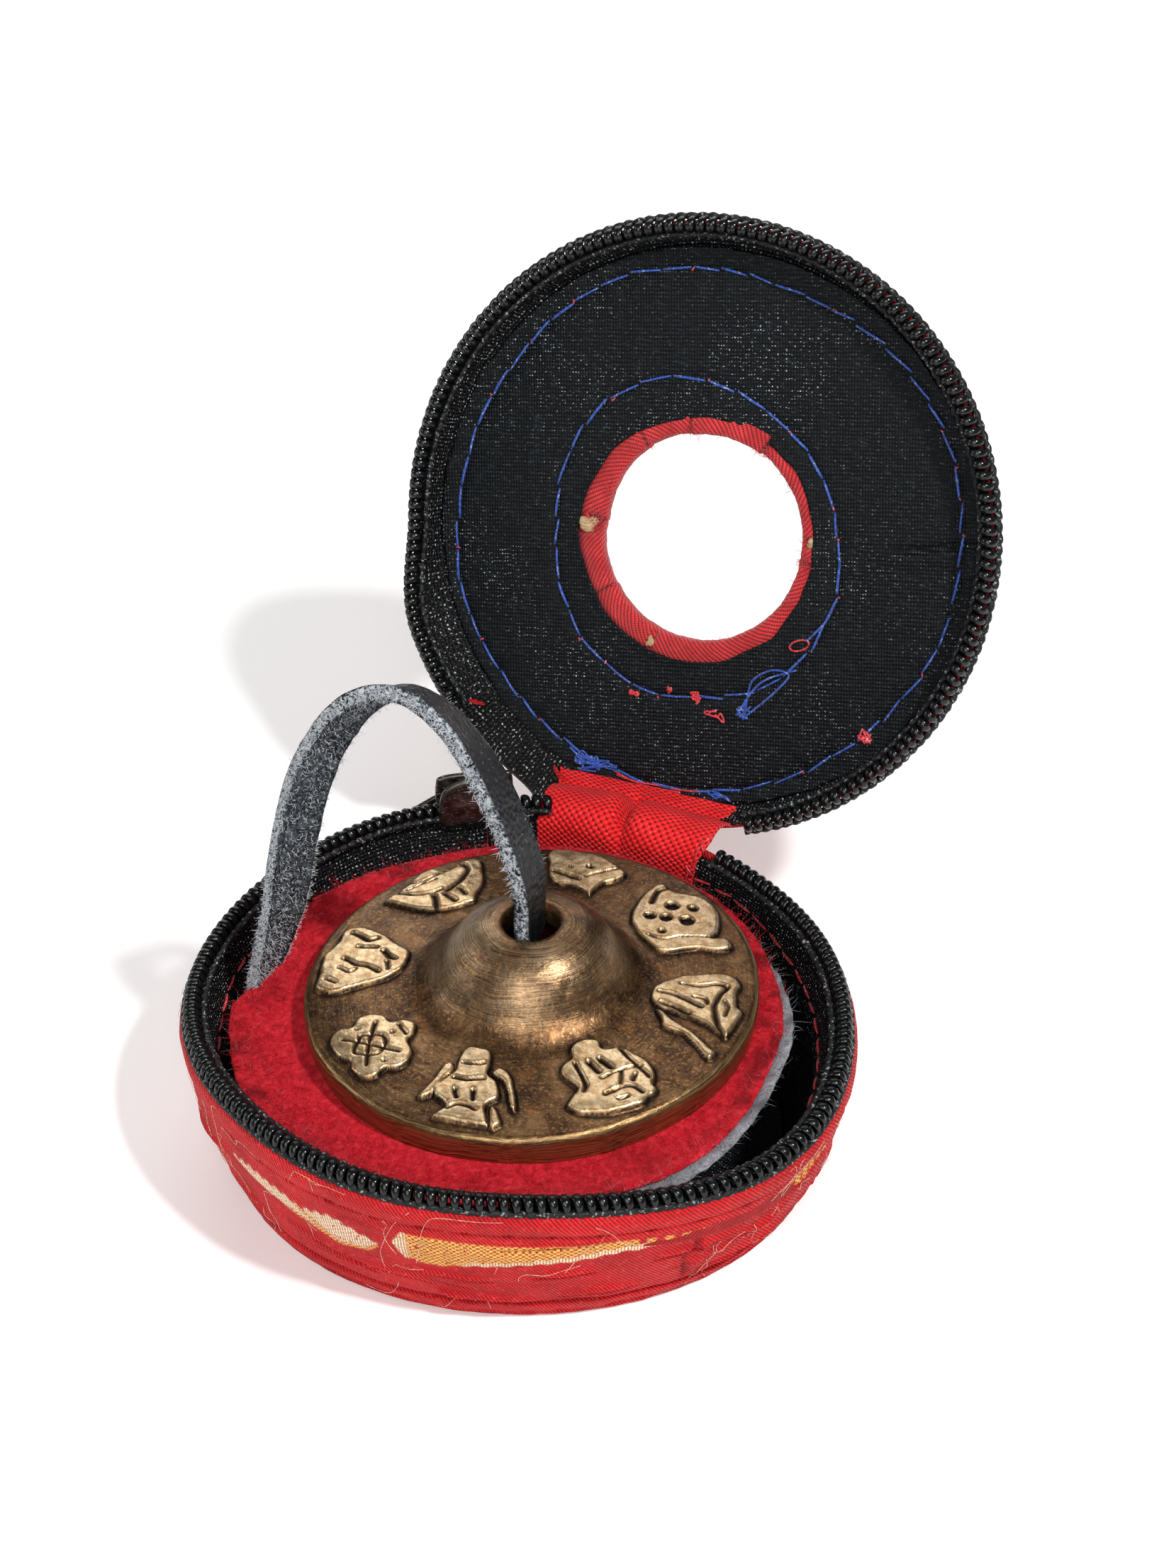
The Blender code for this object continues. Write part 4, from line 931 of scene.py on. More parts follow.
def cymbal(name, around, fine, mirror, base):
    """One cast cymbal: a bell with a bored boss, a flange with raised motifs, and a filed rim."""
    prof = curve(OUTER, 6)
    seg = np.concatenate([[0], np.cumsum(np.linalg.norm(np.diff(prof, axis=0), axis=1))])
    r_of = prof[:, 0]
    wanted, s = [0.0], 0.0
    while s < seg[-1]:
        r = np.interp(s, seg, r_of)
        s += fine if 15.8 < r < 31.6 else 0.42 * max(1, fine / 0.25)
        wanted.append(min(s, seg[-1]))
    R = np.interp(wanted, seg, prof[:, 0])
    Z = np.interp(wanted, seg, prof[:, 1])
    under = curve(INNER, 2)
    flange = len(R)
    R, Z = np.concatenate([R, under[:, 0]]), np.concatenate([Z, under[:, 1]])
    th = np.arange(around) * TAU / around
    rr, tt = np.meshgrid(R, th, indexing="ij")
    zz = np.broadcast_to(Z[:, None], rr.shape).copy()
    x, y = (rr * np.cos(tt)).ravel(), (rr * np.sin(tt)).ravel()
    z = zz.ravel()
    outer = np.repeat(np.arange(len(R)) < flange, around)
    h, top, pit = np.zeros(len(x)), np.zeros(len(x)), np.zeros(len(x))
    on = np.flatnonzero(outer & (rr.ravel() > 14.5) & (rr.ravel() < 32.0) & (z > 4.2))
    h[on], top[on], pit[on] = reliefs(x[on], y[on])
    p = np.stack([x, y, z], -1)
    lump = 0.10 * noise(p, 7.0, 3, 2) + 0.035 * noise(p, 1.6, 4, 2)
    z = z + h + np.where(outer, lump, 0)
    dent = np.hypot(x - 8.6, y + 7.2)
    z = z - np.where(outer, 0.25 * np.exp(-((dent / 0.9) ** 2)), 0)
    lean = smooth(z, 7.5, 15.5)
    rad = rr.ravel()
    grow = 1 + np.where(outer & (rad > 31.2), 0.0035 * noise(p, 4.0, 9, 2), 0)
    p = np.stack([x * grow, y * grow, z], -1)
    rim = np.where(outer, smooth(rad, 31.75, 32.2), 0.0) * (z < 4.7)
    side = np.degrees(tt.ravel()) % 360
    # The bell's polish: an even real polish plus a painted highlight, brightest at 215 and 300 degrees round the boss.
    worn = 0.30 + 0.55 * np.exp(-(((side - 215) / 30) ** 2)) + 0.35 * np.exp(-(((side - 300) / 16) ** 2))
    polish_and_highlight = np.where(outer, smooth(rad, 15.5, 11.5) * smooth(rad, 4.2, 6.0), 0.25) * worn * (0.45 + 0.55 * smooth(noise(p, 5.0, 21, 3), -0.25, 0.35))
    run = np.repeat(np.concatenate([wanted, seg[-1] + np.arange(len(under)) * 1.5]), around)
    q = grid(len(R), around, True, True)
    if mirror:
        p = np.stack([p[:, 0], p[:, 1], base - p[:, 2]], -1)
    else:
        p = p * np.array([1.018, 1.018, 1]) + np.array([0, 0, base])
    world = in_stack(p)
    if not mirror:
        world = world + lean[:, None] * BOSS_SHIFT
    return make(name, world, q, None, (BRONZE,), attrs={"top": top, "pit": pit, "rim": rim, "polish_and_highlight": polish_and_highlight, "run": run})


upper = cymbal("upper_cymbal_bronze", 760, 0.23, False, UPPER_Z)
place(upper, "upper_cymbal", "bronze", "upper_cymbal")
lower = cymbal("lower_cymbal_bronze", 420, 0.42, True, LOWER_Z)
place(lower, "lower_cymbal", "bronze", "lower_cymbal")


# ---------------------------------------------------------------- strap ends under and in the cymbals
tail, tail_path, _ = strap("strap_tail_leather", tail_points, [0] * len(tail_points), ACROSS, 31, 8, 6.6, 1.5)
place(tail, "lower_cymbal", "leather_black", "strap_tail")


def knot(name, centre, seed):
    """An overhand knot of the strap's narrowed end, pulled tight."""
    t = np.linspace(0, TAU, 61)[:-1]
    p = np.stack([np.sin(t) + 2 * np.sin(2 * t), np.cos(t) - 2 * np.cos(2 * t), -1.5 * np.sin(3 * t)], -1)
    p = p / 3.0 * np.array([2.75, 2.55, 2.1])
    p = np.concatenate([p, p[:2]])
    rad = 1.15 + 0.12 * noise(p, 1.5, seed, 2)
    v, q, tr = tube(in_stack(p + np.array([0, 0, centre])), rad, 14, (0, 0, 1), 0.7)
    v = v + 0.07 * noise(v, 0.8, seed + 2, 2)[:, None]
    return make(name, v, q, tr, (SUEDE,), attrs={"pale": np.full(len(v), 0.25)})


place(knot("upper_knot_leather", UPPER_Z + 9.5, 41), "upper_cymbal", "leather_black", "upper_strap_knot")
place(knot("lower_knot_leather", LOWER_Z - 9.5, 43), "lower_cymbal", "leather_black", "lower_strap_knot")


# ---------------------------------------------------------------- felts
def felt(name, mat, low, thick, rad_of, lift_of, seed, slot, node, hairs):
    """A soft felt disc with a rough edge, pressed flat under the cymbal."""
    around = 300
    th = np.arange(around) * TAU / around
    edge = rad_of(th)
    f = np.concatenate([np.linspace(0.02, 0.7, 22), np.linspace(0.7, 0.985, 40)[1:]])
    rows = []
    for k in f:
        r = edge * k
        z = low + thick + lift_of(r, th) + 0.16 * noise2(r * np.cos(th), r * np.sin(th), 2.6, seed, 3) * smooth(r, 30, 34)
        rows.append(polar(r, th, z))
    rag = 1 + 0.006 * noise2(th * 40, 0, 1.2, seed + 1, 2)
    for k, dz in ((0.996, -0.12), (1.002, -0.4), (0.998, -0.75), (0.985, -0.95)):
        r = edge * k * rag
        rows.append(polar(r, th, low + thick * (1 + dz) + lift_of(r, th)))
    for k in (0.9, 0.8, 0.6, 0.3, 0.02):
        r = edge * k
        rows.append(polar(r, th, low + lift_of(r, th)))
    v = np.array(rows)
    n = len(rows)
    stain = 0.75 * smooth(noise(v, 3.4, seed + 5, 3), 0.05, 0.5) * smooth(np.hypot(v[..., 0], v[..., 1]) / edge[None], 0.86, 0.95)
    stain = np.maximum(stain, 0.35 * smooth(noise(v, 4.5, seed + 6, 3), 0.05, 0.55))
    flat = np.concatenate([v.reshape(-1, 3), [v[0].mean(0)], [v[-1].mean(0)]])
    k = np.arange(around)
    t1 = np.stack([np.full(around, n * around), k, (k + 1) % around], -1)
    t2 = np.stack([np.full(around, n * around + 1), (n - 1) * around + (k + 1) % around, (n - 1) * around + k], -1)
    obj = make(name, flat, grid(n, around, True), np.concatenate([t1, t2]), (mat,), attrs={"stain": np.concatenate([stain.ravel(), [0, 0]])})
    place(obj, "felts", slot, node)
    g = np.random.default_rng(seed)
    a = g.uniform(0, TAU, hairs)
    share = np.sqrt(g.uniform(0.62, 1.0, hairs)) if hairs > 3000 else g.uniform(0.94, 1.0, hairs)
    e = np.interp(a, np.append(th, TAU), np.append(edge, edge[0]))
    r = e * share
    z = low + thick + lift_of(r, a) - 0.05
    root = polar(r, a, z)
    d = np.stack([g.normal(size=hairs), g.normal(size=hairs), np.abs(g.normal(size=hairs)) * 0.45 + 0.15], -1)
    v2, q2, t2 = fibres(root, d, g.uniform(0.7, 2.4, hairs), 0.035, seed + 3, 0.7)
    fuzz = make(name + "_fuzz", v2, q2, t2, (mat,), attrs={"stain": np.zeros(len(v2))}, outward=False)
    place(fuzz, "felts", slot)
    return obj


STRAP_TH = math.radians(188.5)


def red_edge(th):
    th = np.asarray(th, float)
    away = np.abs((th - STRAP_TH + math.pi) % TAU - math.pi)
    base = np.interp(np.degrees(th) % 360, [0, 30, 60, 90, 120, 150, 185, 215, 240, 290, 335, 360], [38.9, 38.2, 38.8, 40.0, 40.6, 41.2, 42.0, 42.0, 42.4, 43.0, 41.6, 38.9])
    return base + 0.35 * noise2(th * 41, 3, 7, 70, 2) - 1.6 * smooth(away, 0.22, 0.10)


def grey_edge(th):
    th = np.asarray(th, float)
    return red_edge(th) - 0.7 + 2.2 * smooth(np.cos(th - math.radians(350)), 0.35, 0.9) + 0.35 * noise2(th * 41, 8, 5, 71, 2)


def dish(r, th):
    """How the felt lies: it leans with the cymbals and curls up a little where it meets the case."""
    lean = 0.0279 * (r * np.cos(th) - 1.8) + 0.0436 * (r * np.sin(th) - 0.7)
    side = smooth(np.sin(th), 0.75, 0.1)
    wave = 0.30 * np.sin(3 * th + 0.6) + 0.25 * np.sin(7 * th + 2.0)
    return lean + side * (1.3 * smooth(r, 36.0, 43.0) + smooth(r, 35.5, 41) * wave) - 0.3 * (1 - side) * smooth(r, 34, 41)


felt("felt_red_soft", FELT_RED, 22.0, 0.85, red_edge, dish, 81, "felt_red", "felt_red", 7000)
felt("felt_grey_soft", FELT_GREY, 21.05, 0.85, grey_edge, lambda r, th: dish(r, th) - 0.05 * smooth(r, 36, 42), 83, "felt_grey", "felt_grey", 2600)


# ---------------------------------------------------------------- base of the case
AROUND = 900
TH = np.arange(AROUND) * TAU / AROUND
RR, RZ = rim_r(TH), rim_z(TH)


def wall_creases():
    """Creases of the wall's cloth: each from one place to another, in degrees round the case and in shares of the height, with a depth and a width."""
    g = np.random.default_rng(86)
    out = [(297, 0.58, 309, 0.54, 0.9, 0.012), (302, 0.80, 318, 0.77, 0.9, 0.013), (279, 0.84, 301, 0.885, 1.0, 0.014), (262, 0.66, 281, 0.72, 0.7, 0.013),
           (244, 0.60, 262, 0.66, 0.7, 0.012), (318, 0.50, 336, 0.42, 0.8, 0.013), (322, 0.66, 345, 0.55, 0.9, 0.014), (338, 0.40, 358, 0.30, 0.8, 0.014), (330, 0.82, 352, 0.74, 0.9, 0.014)]
    for _ in range(60):
        a = g.uniform(0, 360)
        t = g.uniform(0.27, 0.95)
        out.append((a, t, a + g.uniform(6, 20), t + g.uniform(-0.06, 0.06), g.uniform(0.25, 0.75), g.uniform(0.008, 0.015)))
    return out


CREASES = wall_creases()


def wall_point(th, t):
    """A place on the outside of the side wall: t is 0 at its top edge and 1 at the seam. The cloth is rolled at the
    top, creased, and gathered at the seam. It also gives painted shade for the folds, and where the stitch holes are.
    """
    th, t = np.broadcast_arrays(np.asarray(th, float), np.asarray(t, float))
    top_r, top_z = rim_r(th) + 1.5, rim_z(th) - 1.95
    r = top_r + (foot_r(th) - 0.2 - top_r) * t + 1.2 * np.sin(math.pi * np.clip(t, 0, 1)) ** 0.9
    z = top_z + (1.2 - top_z) * t
    arc = th * 45.0
    deg = np.degrees(th) % 360
    one = 0.165 + 0.010 * noise2(arc / 15.0, 0, 1, 86)
    low = 0.885 + 0.03 * noise2(arc / 13.0, 6, 1, 88, 2)
    k = np.clip(t / one, 0, 1)
    r = r + 0.5 * np.sin(math.pi * k) ** 0.7 * (1 + 0.25 * noise2(arc / 9.0, 0, 1, 95))
    r = r - 0.22 * np.exp(-(((t - one) / 0.012) ** 2))
    deep = 0.55 + 0.45 * smooth(noise2(arc / 11.0, 2, 1, 90, 2), -0.5, 0.4)
    dip = np.exp(-(((t - low) / 0.016) ** 2)) * deep
    r = r - 0.9 * dip + 0.35 * np.exp(-(((t - 0.5 * (1 + low)) / 0.05) ** 2))
    # dark is painted shade: the fold of the lower seam and the stitch line under the top roll.
    dark = np.maximum(0.8 * dip, 0.12 * np.exp(-(((t - one) / 0.012) ** 2)))
    for a, ta, b, tb, depth, width in CREASES:
        u = ((deg - a + 180) % 360 - 180) / (b - a)
        on = (u > 0) & (u < 1)
        if not on.any():
            continue
        fade = np.sin(math.pi * np.clip(u, 0, 1)) ** 0.7 * on
        x = t - (ta + (tb - ta) * u + 0.012 * noise2(arc / 3.0, a, 1, 96, 2))
        fold = np.exp(-((np.where(x > 0, x * 0.8, x * 1.7) / width) ** 2)) * fade
        r = r - 1.25 * depth * fold + 0.62 * depth * np.exp(-(((x + 2.2 * width) / (2.2 * width)) ** 2)) * fade
        # Painted shade along each crease.
        dark = np.maximum(dark, 0.95 * depth * np.exp(-((x / (0.75 * width)) ** 2)) * fade)
    mid = smooth(t, 0.0, 0.06) * smooth(t, 1.0, 0.95)
    r = r + mid * (0.20 * noise2(arc / 4.0, z / 1.2, 1, 91, 3) + 0.30 * noise2(arc / 13.0, (z + 0.10 * arc) / 2.8, 1, 92, 3))
    # The darn's groove is darkened as well.
    darn = np.exp(-(((deg - 325.5 + 0.8 * np.sin(t * 14)) / 0.55) ** 2)) * smooth(t, 0.30, 0.36) * smooth(t, 0.84, 0.78)
    r = r - 0.5 * darn + 0.5 * np.exp(-(((deg - 327.2) / 1.0) ** 2)) * smooth(t, 0.30, 0.4) * smooth(t, 0.86, 0.76)
    dark = np.maximum(dark, 0.75 * darn)
    pucker = np.exp(-(((t - 1.0) / 0.10) ** 2)) + 0.5 * np.exp(-(((t - low) / 0.05) ** 2))
    r = r + pucker * 0.40 * noise2(arc / 2.9, 0.3 * z, 1, 93, 2)
    hole = np.exp(-(((t - one) / 0.014) ** 2)) * np.exp(-((((arc + 1.4 * noise2(arc / 20.0, 4, 1, 97)) / 6.3 % 1 - 0.5) * 6.3 / 0.55) ** 2))
    return r - 0.55 * hole, z, dark, hole


def slivers(th, t):
    """Where woven motifs show on the wall: cream satin and gold basket threads."""
    deg = np.degrees(th) % 360
    cream, gold = np.zeros(deg.shape), np.zeros(deg.shape)

    def leaf(a, b, ta, tb, half, lean=0.0):
        k = (deg - a) / (b - a)
        mid = ta + (tb - ta) * k
        return (k > 0) & (k < 1), k, (t - mid) / (half * np.sqrt(np.clip(4 * k * (1 - k), 1e-3, 1)))

    k = (deg - 236) / (270 - 236)
    on = (k > 0) & (k < 1)
    high = np.interp(k, [0, 0.15, 0.4, 0.55, 0.75, 1], [0.34, 0.31, 0.33, 0.36, 0.30, 0.41]) + 0.014 * np.sin(deg * 2.6)
    low = np.interp(k, [0, 0.15, 0.4, 0.55, 0.75, 0.92, 1], [0.35, 0.38, 0.45, 0.47, 0.54, 0.50, 0.42])
    inside = smooth(t, high - 0.008, high + 0.006) * smooth(t, low + 0.008, low - 0.006)
    cream = np.where(on, np.maximum(cream, inside), cream)
    edge = smooth(np.abs(t - low), 0.020, 0.010) * smooth(k, 0.35, 0.5)
    gold = np.where(on, np.maximum(gold, edge), gold)
    split = smooth(np.abs(k - 0.56 - 1.2 * (t - 0.4)), 0.035, 0.02)
    gold = np.where(on, np.maximum(gold, inside * split), gold)
    cream = np.where(on, cream * (1 - 0.9 * np.maximum(split, edge)), cream)
    k = (deg - 273) / (333 - 273)
    on = (k > 0) & (k < 1)
    high = np.interp(k, [0, 0.03, 0.3, 0.65, 0.92, 1], [0.34, 0.24, 0.255, 0.235, 0.255, 0.28])
    low = np.interp(k, [0, 0.03, 0.12, 0.3, 0.5, 0.65, 0.92, 1], [0.36, 0.47, 0.50, 0.46, 0.40, 0.335, 0.30, 0.285]) + 0.006 * np.sin(deg * 1.7)
    inside = smooth(t, high - 0.008, high + 0.006) * smooth(t, low + 0.008, low - 0.006)
    thin = np.where(k > 0.70, smooth(np.sin(deg * 2.1 + 1.0), -0.4, 0.3), 1.0)
    gold = np.where(on, np.maximum(gold, inside * thin), gold)
    lower = smooth(np.abs(t - low + 0.018), 0.024, 0.014) * smooth(k, 0.16, 0.26) * smooth(k, 0.80, 0.70)
    cream = np.where(on, np.maximum(cream, np.maximum(lower, inside * smooth(k, 0.055, 0.03))), cream)
    k = (deg - 337) / (356 - 337)
    on = (k > 0) & (k < 1)
    inside = smooth(np.abs(t - 0.30 + 0.10 * k), 0.050, 0.03) * smooth(np.sin(deg * 3.0), -0.8, -0.3)
    gold = np.where(on, np.maximum(gold, inside), gold)
    cream = np.where(on, np.maximum(cream, inside * smooth(k, 0.22, 0.1)), cream)
    for a, b, ta, tb, h in ((12, 38, 0.45, 0.58, 0.12), (48, 86, 0.62, 0.52, 0.13), (98, 128, 0.50, 0.62, 0.10), (136, 166, 0.60, 0.48, 0.13), (174, 204, 0.55, 0.46, 0.11)):
        on, k, v = leaf(a, b, ta, tb, h)
        gold = np.where(on, np.maximum(gold, smooth(np.abs(v), 1.0, 0.82)), gold)
        cream = np.where(on, np.maximum(cream, smooth(np.abs(v + 0.55), 0.4, 0.2)), cream)
    return cream, gold


def side_wall():
    ts = np.linspace(0, 1.0, 112)
    rows, cream, gold, shade, vv = [], [], [], [], []
    r0, z0, _, _ = wall_point(TH, 0.0)

    def add(r, z, c=0.0, g=0.0, d=0.0):
        rows.append(polar(r, TH, z))
        cream.append(np.broadcast_to(c, TH.shape))
        gold.append(np.broadcast_to(g, TH.shape))
        shade.append(np.broadcast_to(d, TH.shape))

    # The turned-in top edge inside the case gets painted shade.
    for dz, dr in ((-7.0, -1.35), (-2.0, -1.1), (-0.25, -0.95), (0.15, -0.7), (0.22, -0.35)):
        add(r0 + dr, z0 + dz, 0, 0, 0.35)
    for t in ts:
        r, z, dark, hole = wall_point(TH, t)
        c, g = slivers(TH, np.full(TH.shape, t))
        # shade: painted shade of the creases, folds and stitch holes, with the darkened darn.
        add(r, z, c * (1 - dark), g * (1 - dark), np.clip(0.7 * dark + 0.85 * hole, 0, 0.9))
    rf = foot_r(TH)
    lump = noise2(TH * 45 / 2.7, 3.1, 1, 94, 2)
    # The foot, where it turns under to the floor, gets painted shade.
    for dr, z, d in ((-0.05, 0.75, 0.05), (-0.35, 0.35, 0.2), (-0.9, 0.14, 0.3), (-1.8, 0.06, 0.3), (-3.0, 0.06, 0.2), (-3.2, 0.9, 0.2), (-2.0, 2.2, 0.2)):
        add(rf + dr + 0.20 * lump, np.maximum(z + 0.06 * lump * (z > 0.3), 0.05), 0, 0, d)
    v = np.array(rows)
    n = len(rows)
    along = np.concatenate([TH, [TAU]]) * 46.0
    mean = np.concatenate([[0], np.cumsum(np.linalg.norm(np.diff(v, axis=0), axis=2).mean(1)), [0]])
    mean[-1] = mean[-2] + 2
    uv = grid_uv(along, mean)
    obj = make("base_wall_brocade", v, grid(n, AROUND, True, True), None, (BROCADE,), uv=uv,
               attrs={"cream": np.array(cream), "gold": np.array(gold), "shade": np.array(shade)})
    return place(obj, "base", "brocade_red", "base_side_wall")


side_wall()


def wall_hairs():
    """Loose hairs and thread ends that cling to the wall's cloth."""
    g = np.random.default_rng(98)
    bag = Bag()
    for _ in range(110):
        a, t = g.uniform(0, TAU), g.uniform(0.05, 0.9)
        da, dt = g.normal() * 0.012, g.normal() * 0.035
        ths, tt = [a], [t]
        for _ in range(int(g.integers(4, 9))):
            da, dt = da + g.normal() * 0.010, dt + g.normal() * 0.03
            ths.append(ths[-1] + da)
            tt.append(min(0.97, max(0.02, tt[-1] + dt)))
        r, z, _, _ = wall_point(np.array(ths), np.array(tt))
        line = curve(polar(r + 0.12 + 0.25 * g.uniform(size=len(ths)), np.array(ths), z), 5)
        bag.add(*tube(line, 0.035, 4, (0.2, 0.1, 1)))
    place(bag.done("base_wall_hairs", (HAIR,)), "base", "brocade_red")


wall_hairs()


def ring_band(name, inner_fn, thick, zs_fn, rows, mat, uv_scale=1.0):
    """A closed band of cloth round the case: from its top edge down, with a thickness."""
    f = np.linspace(0, 1, rows)
    face, back = [], []
    for k in f:
        r, z = inner_fn(TH, k)
        face.append(polar(r, TH, z))
        back.append(polar(r + thick, TH, z))
    v = np.array(face + back[::-1])
    n = len(v)
    along = np.concatenate([TH, [TAU]]) * 46.0
    run = np.concatenate([[0], np.cumsum(np.linalg.norm(np.diff(v, axis=0), axis=2).mean(1))])
    run = np.append(run, run[-1] + thick)
    return make(name, v, grid(n, AROUND, True, True), None, (mat,), uv=grid_uv(along, run))


def tape_face(th, k):
    """The inside of the base's zip tape, from under the teeth (k 0) to its lower edge (k 1)."""
    top = rim_z(th) - 1.9
    z = top + (14.1 - top) * k
    shift = (rim_r(th) - 47.7) * smooth(z, 12.5, 24.0)
    r = tape_line(z) - 0.35 + shift
    return r + 0.16 * noise2(th * 46 / 9.0, z / 5.0, 1, 100, 2) * smooth(k, 0, 0.15), z


place(ring_band("base_tape_knit", tape_face, 0.6, None, 34, TAPE), "base", "tape_black", "base_zip_tape")


def lining_face(th, k):
    z = 13.8 + (2.1 - 13.8) * k
    r0, z0, _, _ = wall_point(th, 0.0)
    low = foot_r(th) - 2.0
    back = low + (r0 - 1.35 - low) * (z - 2.2) / (z0 - 9.2)
    r = np.minimum(tape_line(z) - 0.15, back - 0.6) + 0.15 * noise2(th * 44 / 6.0, z / 4.0, 1, 101, 2)
    return r, z


place(ring_band("base_wall_lining_cloth", lining_face, 0.3, None, 16, LINING), "base", "lining_black", "base_wall_lining")


def teeth(bag, ths, r_of, top_of, up_sign=1.0):
    """Moulded zip teeth: each a nylon loop that stands over the edge of the tape, with a swollen head."""
    path = np.array([(-1.0, -2.7), (-1.02, -1.7), (-0.92, -0.85), (-0.55, -0.22), (0, -0.02), (0.55, -0.22), (0.95, -0.85), (1.05, -1.7), (1.0, -2.7)])
    wide = np.array([0.56, 0.62, 0.70, 0.76, 0.77, 0.72, 0.58, 0.44, 0.36])
    for th in ths:
        er, et = np.array([math.cos(th), math.sin(th), 0]), np.array([-math.sin(th), math.cos(th), 0])
        r, z = float(r_of(th)), float(top_of(th))
        c = er * r + np.array([0, 0, z])
        p = c + er * path[:, :1] + np.array([0, 0, up_sign]) * path[:, 1:] + et * (path[:, :1] * 0.22)
        bag.add(*tube(p, wide, 8, et, 0.62))


bag = Bag()
step = PITCH / 47.9
base_ths = np.arange(math.radians(COIL_FROM), math.radians(COIL_TO), step)
teeth(bag, base_ths, rim_r, lambda th: rim_z(th) + 0.25)
place(bag.done("base_teeth", (COIL,)), "base", "coil_black", "base_zip_coil")


def knit_cord(name, r_off, z_off, rad, body, move=None, r_of=rim_r, z_of=rim_z, sign=1.0, a=COIL_FROM, b=COIL_TO):
    """The knitted cord that lies along the foot of the teeth, with a lump at each stitch."""
    th = np.linspace(math.radians(a - 1), math.radians(b + 1), 2600)
    p = polar(r_of(th) + r_off, th, z_of(th) + sign * z_off)
    lump = np.abs(np.sin(th / step * math.pi))
    v, q, t = tube(p, rad * (0.72 + 0.38 * lump), 8, (0, 0, 1), 0.95)
    v = v + 0.05 * noise(v, 0.5, 7)[:, None]
    if move:
        v = move(v)
    return make(name, v, q, t, (CORD,))


place(knit_cord("base_cord_inner", -1.75, -1.15, 0.58, "base"), "base", "tape_black")
place(knit_cord("base_cord_outer", 1.1, -1.55, 0.52, "base"), "base", "tape_black")


def stitches(bag, place_fn, total, length, gap, rad, seed, arch=0.22, wander=0.25, keep=lambda s: True):
    """Running stitches along a line: place_fn gives a point and the outward direction at a run of s millimetres."""
    g = np.random.default_rng(seed)
    ends = []
    s = 0.0
    while s + length * 0.6 < total:
        L = length * g.uniform(0.82, 1.12)
        if keep(s + L / 2):
            k = np.linspace(0, 1, 7)
            pts, outs = zip(*[place_fn(s + L * x) for x in k])
            pts, outs = np.array(pts), np.array(outs)
            side = unit(np.cross(outs[3], pts[-1] - pts[0]))
            chord = pts[0] + (pts[-1] - pts[0]) * k[:, None]
            line = 0.35 * pts + 0.65 * chord
            line = line + outs * (arch * np.sin(math.pi * k) ** 0.6 - 0.10)[:, None]
            line = line + side * (g.uniform(-wander, wander) * (k - 0.5) * 2 + g.uniform(-0.1, 0.1))[:, None]
            r = rad * g.uniform(0.85, 1.12) * np.array([0.7, 0.95, 1, 1, 1, 0.95, 0.7])
            bag.add(*tube(line, r, 6, outs[3]))
            ends.append((line[0], outs[0]))
        s += L + gap * g.uniform(0.7, 1.4)
    return ends


def base_stitch_place(s):
    th = s / 44.0
    below = np.interp(math.degrees(th) % 360, [0, 22, 33, 50, 60, 66, 75, 100, 121, 150, 187, 198, 215, 240, 360], [10.3, 9.8, 8.5, 6.8, 5.6, 5.0, 5.2, 7.2, 7.9, 7.5, 7.0, 8.1, 10.0, 10.4, 10.3])
    r, z = tape_face(np.array([th]), np.array([(below - 1.9) / (rim_z(th) - 1.9 - 14.1)]))
    return polar(r[0] - 0.06, th, z[0]), np.array([-math.cos(th), -math.sin(th), 0.15])


bag = Bag()
stitches(bag, base_stitch_place, 44.0 * TAU, 3.3, 0.8, 0.2, 120, 0.16, 0.25)
place(bag.done("base_stitches", (RED_THREAD,)), "base", "thread_red", "base_tape_stitching")


def disc(name, rad_of, low, high, mat, seed, slot, node, uv=False, rough=0.1, hollow=0.0):
    """A flat round of cloth or board with a soft edge."""
    around = 240
    th = np.arange(around) * TAU / around
    rad = rad_of(th)
    rows = []
    for k in np.linspace(0.03, 0.97, 26):
        r = rad * k
        rows.append(polar(r, th, high + rough * noise2(r * np.cos(th), r * np.sin(th), 5, seed, 3)))
    for k, f in ((0.99, 0.8), (1.0, 0.5), (0.99, 0.15)):
        rows.append(polar(rad * k, th, low + (high - low) * f))
    for k in np.linspace(0.97, 0.03, 8):
        rows.append(polar(rad * k, th, np.full(around, low)))
    v = np.array(rows)
    n = len(rows)
    flat = np.concatenate([v.reshape(-1, 3), [v[0].mean(0)], [v[-1].mean(0)]])
    k = np.arange(around)
    t1 = np.stack([np.full(around, n * around), k, (k + 1) % around], -1)
    t2 = np.stack([np.full(around, n * around + 1), (n - 1) * around + (k + 1) % around, (n - 1) * around + k], -1)
    q, t = grid(n, around, True), np.concatenate([t1, t2])
    corner = np.concatenate([q.ravel(), t.ravel()])
    zero = np.zeros(len(flat))
    cream, gold = zero, zero
    if mat is BROCADE:
        cream, gold = medallions(flat[:, 0], flat[:, 1])
    obj = make(name, flat, q, t, (mat,), uv=flat[corner][:, :2], attrs={"cream": cream, "gold": gold, "shade": zero, "stain": zero}, outward=True)
    return place(obj, "base", slot, node)


